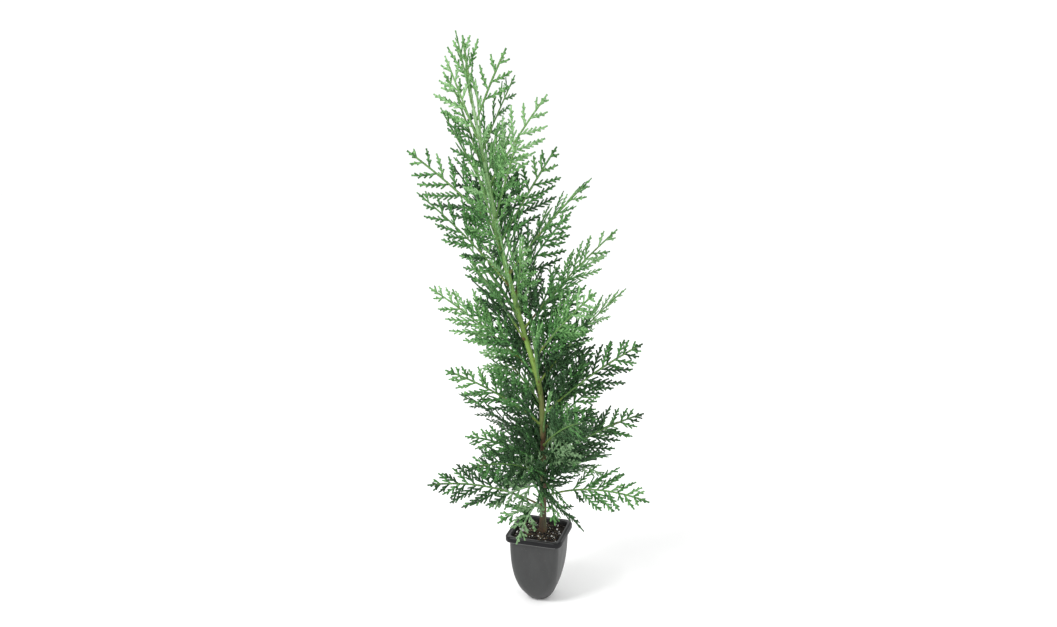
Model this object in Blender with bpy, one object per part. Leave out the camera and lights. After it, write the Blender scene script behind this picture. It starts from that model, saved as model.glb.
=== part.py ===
"""Leyland cypress, one young plant rooted in its own plug cell.

A slim leaning stem carries flat, fern-like sprays all round. The longer ones have a bare bough first.
The plug cell is a thin formed cup with a turned-down rim, filled with potting mix.

Metres, +Z up. The origin is the middle of the cell's flat foot. +X is the plant's right side.
"""

import math
import random
from typing import NamedTuple

import bmesh
import bpy
from mathutils import Vector
from mathutils.bvhtree import BVHTree

MM = 0.001
GAP = 0.3 * MM  # left between pieces that touch

# Plug cell
CELL_PITCH = 50.4 * MM  # outer width over the rim
CELL_HEIGHT = 64.0 * MM
MOUTH_HALF = 22.0 * MM  # half the outer width right under the rim
FOOT_HALF = 6.5 * MM  # half the width of the flat foot
CELL_WALL = 0.8 * MM
RIM_DROP = 4.4 * MM  # how far the rim's lip turns down
EDGE_ROUND = 1.2 * MM  # rounding of the rim's outer and inner edge
CELL_CORNER = 6.2 * MM  # corner radius of the cell's section at the mouth
CORNER_GAIN = 0.6  # corner radius gained for each length that half the section is narrower
ROUNDEST = 0.92  # largest corner radius as a share of half the section's width
RIM_CORNER = 8.0 * MM  # corner radius of the rim
WALL_LEVELS = 7
CORNER_STEPS = 4
WALL_CURVE = (2.6, 0.55)  # how fast the wall leaves the foot, and how straight it gets above

# Potting mix
MIX_TOP = 62.0 * MM  # its level at the stem
MIX_DIP = 1.6 * MM  # how far it falls away towards the wall
MIX_BUMPS = 0.5 * MM

# Stem: the course of its middle line as (x, y, z), and (height, radius) along it
STEM_COURSE = (
    (3.0 * MM, 0.0 * MM, 62.3 * MM),
    (3.4 * MM, 1.0 * MM, 103.0 * MM),
    (2.0 * MM, 2.5 * MM, 154.0 * MM),
    (-1.0 * MM, 3.0 * MM, 192.0 * MM),
    (-17.0 * MM, 2.0 * MM, 248.0 * MM),
    (-33.0 * MM, 0.5 * MM, 309.0 * MM),
    (-45.0 * MM, -1.0 * MM, 368.0 * MM),
    (-57.0 * MM, -2.0 * MM, 430.0 * MM),
    (-58.6 * MM, -2.0 * MM, 441.0 * MM),
)
STEM_GIRTH = (
    (62.3 * MM, 4.3 * MM),
    (68.5 * MM, 3.2 * MM),
    (92.0 * MM, 2.75 * MM),
    (196.0 * MM, 2.3 * MM),
    (368.0 * MM, 1.95 * MM),
    (441.0 * MM, 1.05 * MM),
)
STEM_SIDES = 8
STEM_RINGS = 20

# Crown: sprays stand round the stem in a spiral from the lowest to the highest root
SEED = 5
SPRAYS = 38
LOWEST_ROOT = 82 * MM
HIGHEST_ROOT = 434 * MM
GOLDEN_TURN = math.radians(137.508)
FIRST_TURN = math.radians(205)
LONGEST_SPRAY = 112 * MM
WIDEST_AT = 0.38  # share of the plant's height where sprays are longest
FALL_BELOW = 0.60  # how soon sprays get shorter below that
FALL_ABOVE = 0.72  # and above it
CROWN_TOP = 482 * MM
# (share of height, degrees from upright at the root, degrees gained by the tip)
LEAN_OUT = ((0.0, 64, 52), (0.2, 60, 34), (0.34, 48, 14), (0.62, 38, 6), (0.82, 26, 0), (1.0, 18, 0))
# Three sprays that stand clear of the rest: (root height, turn, length, lean)
CLEAR_SPRAYS = (
    (329 * MM, math.radians(180), 99 * MM, math.radians(46)),
    (407 * MM, math.radians(184), 54 * MM, math.radians(27)),
    (416 * MM, math.radians(-6), 60 * MM, math.radians(22)),
)
BOUGH_SHARE = 0.20  # bare share of a spray that starts with a bough
BOUGHS = 17  # the longest sprays have one
COURSE_STEPS = 24

# Branchlets on a spray, alternately left and right
BRANCHLET_STEP = 7.5 * MM
FIRST_BRANCHLET = 9 * MM
LAST_BRANCHLET = 7 * MM
BRANCHLET_ANGLE = math.radians(40)
BRANCHLET_SHARE = 0.48  # branchlet length for each length of spray beyond it
BRANCHLET_MORE = 6 * MM
LONGEST_BRANCHLET = 35 * MM
LEADER_LENGTH = 41 * MM
LEADER_SHARE = 0.80
LEADER_ANGLE = math.radians(25)

# Toothed blade that stands for a branchlet and its twiglets
BLADE_HALF = 0.16  # half width for each length
BLADE_HALF_MOST = 4.0 * MM
BLADE_THICK = 1.0 * MM
BLADE_ROOT = 0.28 * MM  # half the blade's width and thickness inside the spray's stem
BLADE_CLEAR = 0.45 * MM  # kept free round a blade
TEETH = ((0.44, 1.0), (0.82, 0.62))  # (share of length, share of half width) of the two teeth on each side
NOTCH = (0.52, 0.26)  # the notch between them
TOOTH_SHIFT = 0.07  # how far the right side's teeth sit nearer the root
RIDGE_AT = 0.45

# Limbs
TIP_RADIUS = 0.5 * MM
THINNEST_ROOT = 0.45 * MM
ROOT_GAIN = 0.0045  # radius at a spray's root gained for each length
TIP_BLADE = 9 * MM  # the spray's stem widens over this length at its tip
TIP_BLADE_HALF = 2.25 * MM
AXIS_RINGS = 5
AXIS_SIDES = 4
BOUGH_RINGS = 4
BOUGH_SIDES = 5


class Spray(NamedTuple):
    """One flat spray: its course, the bough's share of it, and where its branchlets stand."""

    name: str
    stations: list
    length: float
    bough: float
    radius: float
    seat: Vector
    branchlets: list


def between(pairs, at, column=1):
    """Straight-line value at a place in rows of (place, value, ...)."""
    if at <= pairs[0][0]:
        return pairs[0][column]
    for low, high in zip(pairs, pairs[1:]):
        if at <= high[0]:
            share = (at - low[0]) / (high[0] - low[0])
            return low[column] + share * (high[column] - low[column])
    return pairs[-1][column]


def smooth_course(points, at_z):
    """Point at height at_z on the smooth curve through points, which rise steadily."""
    last = len(points) - 2
    for k in range(last + 1):
        if at_z <= points[k + 1][2] or k == last:
            break
    p0 = Vector(points[max(k - 1, 0)])
    p1 = Vector(points[k])
    p2 = Vector(points[k + 1])
    p3 = Vector(points[min(k + 2, len(points) - 1)])
    t = (at_z - p1.z) / (p2.z - p1.z)
    slope1 = (p2 - p0) / (p2.z - p0.z) * (p2.z - p1.z)
    slope2 = (p3 - p1) / (p3.z - p1.z) * (p2.z - p1.z)
    a = 2 * t**3 - 3 * t**2 + 1
    b = t**3 - 2 * t**2 + t
    c = -2 * t**3 + 3 * t**2
    d = t**3 - t**2
    return p1 * a + slope1 * b + p2 * c + slope2 * d


def stem_point(z):
    return smooth_course(STEM_COURSE, z)


def stem_direction(z):
    step = 1.0 * MM
    return (stem_point(z + step) - stem_point(z - step)).normalized()


def stem_radius(z):
    return between(STEM_GIRTH, z)


def spray_plan():
    """Root height, turn, length, lean, arch, roll and twist of every spray, lowest first."""
    plan = []
    for k in range(SPRAYS):
        rng = random.Random(SEED * 1000 + k)
        z = LOWEST_ROOT + (HIGHEST_ROOT - LOWEST_ROOT) * (k + 0.5) / SPRAYS
        turn = FIRST_TURN + GOLDEN_TURN * k + rng.uniform(-0.16, 0.16)
        height = z / CROWN_TOP
        fall = FALL_ABOVE if height > WIDEST_AT else FALL_BELOW
        length = LONGEST_SPRAY * (1 - ((height - WIDEST_AT) / fall) ** 2)
        length *= rng.uniform(0.86, 1.06)
        lean = math.radians(between(LEAN_OUT, height) + rng.uniform(-5, 5))
        arch = math.radians(between(LEAN_OUT, height, 2) + rng.uniform(-5, 8))
        roll = math.radians(rng.uniform(-52, 52))
        twist = math.radians(rng.uniform(-22, 22))
        plan.append([z, turn, length, lean, arch, roll, twist])
    for z, turn, length, lean in CLEAR_SPRAYS:
        nearest = min(range(SPRAYS), key=lambda k: abs(plan[k][0] - z))
        plan[nearest][:4] = [z, turn, length, lean]
        plan[nearest][5] *= 0.2
        plan[nearest][6] *= 0.4
    return plan


def spray_course(root, turn, length, lean, arch, roll, twist):
    """Stations along a spray's axis: point, direction, side direction and the direction it faces."""
    out = Vector((math.cos(turn), math.sin(turn), 0))
    up = Vector((0, 0, 1))
    across = up.cross(out)
    point = root.copy()
    stations = []
    for k in range(COURSE_STEPS + 1):
        t = k / COURSE_STEPS
        angle = lean + arch * t
        along = out * math.sin(angle) + up * math.cos(angle)
        fall = out * math.cos(angle) - up * math.sin(angle)
        side = fall * math.cos(roll + twist * t) + across * math.sin(roll + twist * t)
        stations.append((point.copy(), along, side, along.cross(side)))
        point += along * (length / COURSE_STEPS)
    return stations


def station_at(stations, share):
    """Station at a share of the way along a spray."""
    place = min(max(share, 0), 1) * COURSE_STEPS
    k = min(int(place), COURSE_STEPS - 1)
    t = place - k
    return tuple(a.lerp(b, t) for a, b in zip(stations[k], stations[k + 1]))


def branchlets(length, start, share, angle, rng):
    """Where each branchlet leaves the axis, its side, length, angle and tilt out of the spray's plane."""
    rows = []
    place = start + FIRST_BRANCHLET * rng.uniform(0.8, 1.1)
    sign = rng.choice((-1, 1))
    while place < length - LAST_BRANCHLET:
        reach = min(share * (length - place) + BRANCHLET_MORE, LONGEST_BRANCHLET)
        reach *= min(1, 0.72 + 1.4 * (place - start) / length) * rng.uniform(0.86, 1.08)
        rows.append((place, sign, reach, angle * rng.uniform(0.88, 1.15), rng.uniform(-0.12, 0.30)))
        place += BRANCHLET_STEP * rng.uniform(0.85, 1.15)
        sign = -sign
    return rows


def material(name, color, roughness):
    mat = bpy.data.materials.new(name)
    mat.use_nodes = True
    shader = mat.node_tree.nodes["Principled BSDF"]
    shader.inputs["Base Color"].default_value = (*color, 1)
    shader.inputs["Roughness"].default_value = roughness
    shader.inputs["Metallic"].default_value = 0.0
    return mat


def closed_object(name, verts, faces, mat, collection=None):
    """Object from points and faces, its faces turned outwards."""
    mesh = bpy.data.meshes.new(name)
    mesh.from_pydata([tuple(v) for v in verts], [], faces)
    work = bmesh.new()
    work.from_mesh(mesh)
    bmesh.ops.recalc_face_normals(work, faces=work.faces[:])
    work.to_mesh(mesh)
    work.free()
    mesh.materials.append(mat)
    obj = bpy.data.objects.new(name, mesh)
    (collection or bpy.context.scene.collection).objects.link(obj)
    return obj


def smooth(obj, angle=40):
    obj.data.shade_smooth()
    obj.data.set_sharp_from_angle(angle=math.radians(angle))


def rings_to_faces(rings, sides):
    """Side faces between rings, and a flat face over the first and the last."""
    faces = []
    for k in range(rings - 1):
        for j in range(sides):
            a = k * sides + j
            b = k * sides + (j + 1) % sides
            faces.append((a, b, b + sides, a + sides))
    faces.append(tuple(reversed(range(sides))))
    faces.append(tuple(range((rings - 1) * sides, rings * sides)))
    return faces


def square_ring(half, corner, z):
    """Points round a square with round corners."""
    points = []
    centre = half - corner
    for quarter in range(4):
        for step in range(CORNER_STEPS + 1):
            angle = math.radians(90) * (quarter + step / CORNER_STEPS)
            sign_x = 1 if quarter in (0, 3) else -1
            sign_y = 1 if quarter in (0, 1) else -1
            x = sign_x * centre + corner * math.cos(angle)
            y = sign_y * centre + corner * math.sin(angle)
            points.append(Vector((x, y, z)))
    return points


def wall_half(z):
    """Half the cell's outer width at a height under the rim."""
    full = CELL_HEIGHT - CELL_WALL
    first, second = WALL_CURVE
    rise = 1 - (1 - min(max(z / full, 0), 1)) ** first
    return FOOT_HALF + (MOUTH_HALF - FOOT_HALF) * rise**second


def wall_corner(half):
    """Corner radius where half the section is this wide: the cell is square above and nearly round below."""
    return min(CELL_CORNER + CORNER_GAIN * (MOUTH_HALF - half), ROUNDEST * half)


def wall_height(level):
    """Heights crowd towards the foot, where the wall turns."""
    return (CELL_HEIGHT - CELL_WALL) * (level / WALL_LEVELS) ** 1.5


def plug_cell(mat):
    rim_half = CELL_PITCH / 2
    top = CELL_HEIGHT
    under = CELL_HEIGHT - CELL_WALL
    lip = CELL_HEIGHT - RIM_DROP
    rings = []
    for level in range(WALL_LEVELS + 1):
        z = wall_height(level)
        half = wall_half(z)
        rings.append(square_ring(half, wall_corner(half), z))
    inner_rim = rim_half - CELL_WALL
    rings.append(square_ring(inner_rim - EDGE_ROUND, RIM_CORNER - CELL_WALL, under))
    rings.append(square_ring(inner_rim, RIM_CORNER - CELL_WALL, under - EDGE_ROUND))
    rings.append(square_ring(inner_rim, RIM_CORNER - CELL_WALL, lip))
    rings.append(square_ring(rim_half, RIM_CORNER, lip))
    rings.append(square_ring(rim_half, RIM_CORNER, top - EDGE_ROUND))
    rings.append(square_ring(rim_half - 0.3 * EDGE_ROUND, RIM_CORNER, top - 0.3 * EDGE_ROUND))
    rings.append(square_ring(rim_half - EDGE_ROUND, RIM_CORNER, top))
    mouth = MOUTH_HALF - CELL_WALL
    rings.append(square_ring(mouth + EDGE_ROUND, CELL_CORNER, top))
    rings.append(square_ring(mouth + 0.3 * EDGE_ROUND, CELL_CORNER, top - 0.3 * EDGE_ROUND))
    for level in range(WALL_LEVELS - 1, 0, -1):
        z = wall_height(level) + CELL_WALL * 0.6
        half = wall_half(wall_height(level)) - CELL_WALL
        rings.append(square_ring(half, wall_corner(half), z))
    half = FOOT_HALF - 0.2 * CELL_WALL
    rings.append(square_ring(half, wall_corner(half), CELL_WALL))
    sides = len(rings[0])
    verts = [v for ring in rings for v in ring]
    obj = closed_object("plug_cell", verts, rings_to_faces(len(rings), sides), mat)
    smooth(obj, 35)
    return obj


def potting_mix(mat):
    rng = random.Random(SEED)
    inset = CELL_WALL + 2 * GAP
    rings = []
    half = FOOT_HALF - 2 * CELL_WALL
    rings.append(square_ring(half, wall_corner(half), CELL_WALL + GAP))
    for level in range(1, WALL_LEVELS):
        z = wall_height(level) + CELL_WALL
        if z > MIX_TOP - MIX_DIP - 3 * MM:
            break
        half = wall_half(wall_height(level)) - inset
        rings.append(square_ring(half, wall_corner(half), z))
    edge_z = MIX_TOP - MIX_DIP
    edge = wall_half(edge_z - CELL_WALL) - inset
    rings.append(square_ring(edge, wall_corner(edge), edge_z))
    for share in (0.82, 0.62, 0.45):
        z = MIX_TOP - MIX_DIP * share**2
        ring = square_ring(edge * share, wall_corner(edge * share), z)
        for v in ring:
            v.z += rng.uniform(-MIX_BUMPS, 0)
        rings.append(ring)
    patch = square_ring(edge * 0.3, wall_corner(edge * 0.3), MIX_TOP)
    rings.append(patch)
    sides = len(rings[0])
    verts = [v for ring in rings for v in ring]
    obj = closed_object("potting_mix", verts, rings_to_faces(len(rings), sides), mat)
    smooth(obj, 30)
    return obj


def tube(stations, radii, sides, root_normal=None):
    """Rings of a tapering limb, each radius a number or (half width, half thickness).

    With root_normal the first ring lies flat against what carries it.
    """
    verts = []
    for k, (point, along, side, face) in enumerate(stations):
        wide, thick = radii[k] if isinstance(radii[k], tuple) else (radii[k], radii[k])
        for j in range(sides):
            angle = 2 * math.pi * (j + 0.5) / sides
            offset = side * (math.cos(angle) * wide) + face * (math.sin(angle) * thick)
            if k == 0 and root_normal is not None:
                offset -= along * (offset.dot(root_normal) / along.dot(root_normal))
            verts.append(point + offset)
    return verts, rings_to_faces(len(stations), sides)


def stem(mat):
    stations = []
    radii = []
    low = STEM_COURSE[0][2]
    high = STEM_COURSE[-1][2]
    for k in range(STEM_RINGS + 1):
        z = low + (high - low) * (k / STEM_RINGS) ** 1.25
        along = stem_direction(z) if k else Vector((0, 0, 1))
        side = Vector((1, 0, 0))
        side = (side - along * side.dot(along)).normalized()
        stations.append((stem_point(z), along, side, along.cross(side)))
        radii.append(stem_radius(z))
    verts, faces = tube(stations, radii, STEM_SIDES)
    obj = closed_object("stem", verts, faces, mat)
    smooth(obj, 60)
    return obj


def blade_shape(root, along, side, face, length, half, clear=0.0):
    """Points and faces of a toothed blade. clear makes it bigger all round."""
    ridge = BLADE_THICK / 2 + clear
    base = BLADE_ROOT + clear
    full = length + clear

    def at(x, y, z=0.0):
        return root + along * x + side * y + face * z

    middle = length * RIDGE_AT
    verts = [at(0, 0, base), at(0, 0, -base), at(middle, 0, ridge), at(middle, 0, -ridge), at(full, 0)]
    tip = 4
    faces = []
    corners = []
    for sign, shift in ((1, 0.0), (-1, TOOTH_SHIFT)):
        corner = len(verts)
        tooth, notch, tip_tooth = corner + 1, corner + 2, corner + 3
        verts.append(at(0, sign * base))
        verts.append(at(length * (TEETH[0][0] - shift), sign * (TEETH[0][1] * half + clear)))
        verts.append(at(length * NOTCH[0], sign * (NOTCH[1] * half + clear)))
        verts.append(at(length * (TEETH[1][0] - shift), sign * (TEETH[1][1] * half + clear)))
        corners.append(corner)
        for low, high in ((0, 2), (1, 3)):
            faces += [(low, high, tooth), (low, tooth, corner)]
            faces += [(high, notch, tooth), (high, tip_tooth, notch), (high, tip, tip_tooth)]
    faces.append((0, corners[0], 1, corners[1]))
    return verts, faces


class Taken:
    """The room that solids already fill, asked before a blade is added."""

    def __init__(self):
        self.rows = []

    def add(self, owner, verts, faces):
        low = [min(v[i] for v in verts) for i in range(3)]
        high = [max(v[i] for v in verts) for i in range(3)]
        self.rows.append((owner, low, high, BVHTree.FromPolygons([tuple(v) for v in verts], faces)))

    def hits(self, owner, verts, faces):
        low = [min(v[i] for v in verts) for i in range(3)]
        high = [max(v[i] for v in verts) for i in range(3)]
        tree = BVHTree.FromPolygons([tuple(v) for v in verts], faces)
        for other, other_low, other_high, other_tree in self.rows:
            if other == owner:
                continue
            if any(low[i] > other_high[i] or high[i] < other_low[i] for i in range(3)):
                continue
            if tree.overlap(other_tree):
                return True
        return False


def part_of_course(stations, first, last, count):
    """A few stations of a spray between two shares of its length."""
    return [station_at(stations, first + (last - first) * k / (count - 1)) for k in range(count)]


def largest_body(obj):
    """Drops loose scraps, so the mass is one body."""
    work = bmesh.new()
    work.from_mesh(obj.data)
    work.verts.ensure_lookup_table()
    left = set(work.verts)
    groups = []
    while left:
        group = set()
        waiting = [left.pop()]
        while waiting:
            vert = waiting.pop()
            group.add(vert)
            for edge in vert.link_edges:
                other = edge.other_vert(vert)
                if other in left:
                    left.remove(other)
                    waiting.append(other)
        groups.append(group)
    groups.sort(key=len)
    for group in groups[:-1]:
        bmesh.ops.delete(work, geom=list(group), context="VERTS")
    bmesh.ops.triangulate(work, faces=work.faces[:])
    work.to_mesh(obj.data)
    work.free()


def fuse(obj, helpers):
    """Joins the objects of a helper collection to obj with one union."""
    union = obj.modifiers.new("fuse", "BOOLEAN")
    union.operation = "UNION"
    union.operand_type = "COLLECTION"
    union.collection = helpers
    union.solver = "EXACT"
    bpy.context.view_layer.objects.active = obj
    bpy.ops.object.modifier_apply(modifier=union.name)
    for helper in list(helpers.objects):
        mesh = helper.data
        bpy.data.objects.remove(helper)
        bpy.data.meshes.remove(mesh)
    bpy.data.collections.remove(helpers)
    largest_body(obj)


def spray_layout():
    """Every spray round the stem, lowest first."""
    plan = spray_plan()
    by_length = sorted(range(SPRAYS), key=lambda k: -plan[k][2])
    with_bough = set(by_length[:BOUGHS])
    layout = []
    for k, (z, turn, length, lean, arch, roll, twist) in enumerate(plan):
        out = Vector((math.cos(turn), math.sin(turn), 0))
        rise = stem_direction(z)
        seat = (out - rise * out.dot(rise)).normalized()
        root = stem_point(z) + seat * (stem_radius(z) + GAP)
        stations = spray_course(root, turn, length, lean, arch, roll, twist)
        bough = BOUGH_SHARE if k in with_bough else 0.0
        rng = random.Random(SEED * 5000 + k)
        rows = branchlets(length, bough * length, BRANCHLET_SHARE, BRANCHLET_ANGLE, rng)
        radius = THINNEST_ROOT + ROOT_GAIN * length
        layout.append(Spray(f"spray_{k + 1:02d}", stations, length, bough, radius, seat, rows))
    return layout


def leader_layout():
    """The shoot on top of the stem, forked more steeply than the sprays."""
    z = STEM_COURSE[-1][2]
    along = stem_direction(z)
    root = stem_point(z) + along * GAP
    side = Vector((1, 0, 0))
    side = (side - along * side.dot(along)).normalized()
    face = along.cross(side)
    stations = []
    for k in range(COURSE_STEPS + 1):
        stations.append((root + along * (LEADER_LENGTH * k / COURSE_STEPS), along, side, face))
    rng = random.Random(SEED * 7000)
    rows = branchlets(LEADER_LENGTH, -FIRST_BRANCHLET, LEADER_SHARE, LEADER_ANGLE, rng)
    rows = [row for row in rows if row[0] > 1 * MM]
    return Spray("leader_spray", stations, LEADER_LENGTH, 0.0, stem_radius(z) * 0.95, along, rows)


def limb_radius(spray, share):
    return spray.radius + (TIP_RADIUS - spray.radius) * share


def bough_rings(spray):
    """The bare first part of a spray's course, flat against the stem at its root."""
    course = part_of_course(spray.stations, 0, spray.bough, BOUGH_RINGS)
    radii = [limb_radius(spray, spray.bough * k / (BOUGH_RINGS - 1)) for k in range(BOUGH_RINGS)]
    return tube(course, radii, BOUGH_SIDES, spray.seat)


def axis_rings(spray):
    """A spray's own stem, which widens into a pointed blade at its tip."""
    first = spray.bough + GAP / spray.length if spray.bough else 0.0
    last = 1 - TIP_BLADE / spray.length
    course = part_of_course(spray.stations, first, last, AXIS_RINGS)
    radii = [limb_radius(spray, first + (last - first) * k / (AXIS_RINGS - 1)) for k in range(AXIS_RINGS)]
    course.append(station_at(spray.stations, 1 - 0.6 * TIP_BLADE / spray.length))
    radii.append((TIP_BLADE_HALF, BLADE_THICK / 2))
    course.append(station_at(spray.stations, 1))
    radii.append(TIP_RADIUS / 2)
    return tube(course, radii, AXIS_SIDES, None if spray.bough else spray.seat)


def blades_of(spray, clear=0.0):
    """A toothed blade for each branchlet."""
    for place, sign, reach, angle, tilt in spray.branchlets:
        point, along, side, face = station_at(spray.stations, place / spray.length)
        heading = along * math.cos(angle) + side * (sign * math.sin(angle)) + face * tilt
        heading.normalize()
        across = face.cross(heading).normalized()
        flat = heading.cross(across)
        half = min(BLADE_HALF * reach, BLADE_HALF_MOST)
        yield blade_shape(point, heading, across, flat, reach, half, clear)


def rooms_of_pot_and_stem(solids):
    """The room of the pot, mix and stem, which no blade may enter."""
    taken = Taken()
    for solid in solids:
        faces = [tuple(p.vertices) for p in solid.data.polygons]
        taken.add(solid.name, [v.co for v in solid.data.vertices], faces)
    above_rim = square_ring(CELL_PITCH / 2, RIM_CORNER, CELL_HEIGHT + 1 * MM)
    foot_level = square_ring(CELL_PITCH / 2, RIM_CORNER, 0)
    taken.add("plug_cell", foot_level + above_rim, rings_to_faces(2, len(foot_level)))
    return taken


def main():
    for obj in list(bpy.data.objects):
        bpy.data.objects.remove(obj)
    twig = material("twig_bark", (0.12, 0.20, 0.05), 0.60)
    foliage = material("scale_foliage", (0.055, 0.15, 0.045), 0.55)
    plug_cell(material("black_plastic", (0.035, 0.036, 0.037), 0.42))
    mix = potting_mix(material("peat_mix", (0.018, 0.013, 0.009), 0.95))
    trunk = stem(material("green_bark", (0.20, 0.24, 0.06), 0.62))
    taken = rooms_of_pot_and_stem((mix, trunk))
    sprays = spray_layout() + [leader_layout()]
    axes = {}
    for spray in sprays:
        if spray.bough:
            bough = closed_object(spray.name.replace("spray", "bough"), *bough_rings(spray), twig)
            taken.add(bough.name, *bough_rings(spray))
            smooth(bough, 80)
        axes[spray.name] = axis_rings(spray)
        taken.add(spray.name, *axes[spray.name])
    for spray in sprays:
        helpers = bpy.data.collections.new("helpers_" + spray.name)
        bpy.context.scene.collection.children.link(helpers)
        mass = closed_object(spray.name, *axes[spray.name], foliage)
        for blade, guard in zip(blades_of(spray), blades_of(spray, BLADE_CLEAR)):
            if taken.hits(spray.name, *guard):
                continue
            taken.add(spray.name, *blade)
            closed_object(spray.name + "_blade", *blade, foliage, helpers)
        fuse(mass, helpers)


main()
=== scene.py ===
# %% [markdown]
# A young Leyland cypress in a plug cell
#
# The plant is a slim stem in a small black cup of potting mix, with flat fern-like sprays all round it.
# The construction, with its true sizes, comes ready in a frame of plain solids.
# This script sets up the camera, the floor and the light, and then dresses those solids: it builds the cup,
# the mix, the bark and every scale-leaf twig in full, and gives them their finishes.
# It keeps to the solids' sizes, so the dressed plant and the plain one fill the same space.

import random
from math import atan2, copysign, cos, exp, hypot, pi, radians, sin, sqrt, tan
from types import SimpleNamespace

import bmesh
import bpy
import numpy as np
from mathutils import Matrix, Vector, noise


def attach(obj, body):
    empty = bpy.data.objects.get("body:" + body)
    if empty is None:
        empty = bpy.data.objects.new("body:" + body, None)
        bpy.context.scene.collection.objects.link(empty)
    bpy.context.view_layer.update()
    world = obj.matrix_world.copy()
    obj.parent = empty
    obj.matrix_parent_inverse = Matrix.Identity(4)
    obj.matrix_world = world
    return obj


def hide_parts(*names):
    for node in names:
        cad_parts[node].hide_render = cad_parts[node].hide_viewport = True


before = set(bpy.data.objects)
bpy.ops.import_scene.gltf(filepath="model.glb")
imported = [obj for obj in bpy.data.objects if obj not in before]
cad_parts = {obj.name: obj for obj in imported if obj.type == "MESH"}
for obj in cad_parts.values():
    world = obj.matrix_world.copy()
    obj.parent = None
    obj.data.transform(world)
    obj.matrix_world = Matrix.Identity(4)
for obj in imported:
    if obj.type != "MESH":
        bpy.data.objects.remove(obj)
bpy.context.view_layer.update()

MM = 0.001
SPRAY_NODES = [f"spray_{k:02d}" for k in range(1, 39)] + ["leader_spray"]


# %% [markdown]
# Camera.
# The whole look of a picture depends on where it is taken from, so the camera comes first.
# The real plant was seen from near by, about 0.7 m away, with the eye a little lower than its top and
# some sixteen degrees to the right. From there one looks down into the cell but straight at the upper crown.
# The camera is aimed with a rotation only. Nothing is shifted in the lens, so it works from other sides too.

# %% Camera
FRAME_WIDTH = 1057
FOCAL = 840  # focal length in picture elements
SENSOR = 36.0
EYE_DISTANCE = 690 * MM
EYE_HEIGHT = 400 * MM
LOOK_DOWN = radians(11.7)
SIDE_ANGLE = radians(16.5)
AIM_X = -10 * MM

away = Vector((sin(SIDE_ANGLE), -cos(SIDE_ANGLE), 0))  # level direction from the plant to the eye
eye = Vector((AIM_X, 0, EYE_HEIGHT)) + away * EYE_DISTANCE
target = Vector((AIM_X, 0, EYE_HEIGHT - EYE_DISTANCE * tan(LOOK_DOWN)))
bpy.ops.object.camera_add(location=eye, rotation=(target - eye).to_track_quat("-Z", "Y").to_euler())
camera = bpy.context.object
camera.name = "camera"
camera.data.sensor_width = SENSOR
camera.data.lens = FOCAL * SENSOR / FRAME_WIDTH
bpy.context.scene.camera = camera
print("Camera at", [round(v, 3) for v in eye], "with a lens of", round(camera.data.lens, 1), "mm")

# %% [markdown]
# Finishes.
# Every surface here varies: plastic has scuffs and a bloom of dust, bark changes from brown to green, and
# leaves are mottled. Each finish is built from a few nodes. A noise pattern, read from the object's own
# coordinates in metres, drives colour, roughness and a little bump. One class keeps the wiring short: each of
# its steps makes a node, and a socket takes either a value or the output of another node.

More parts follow.
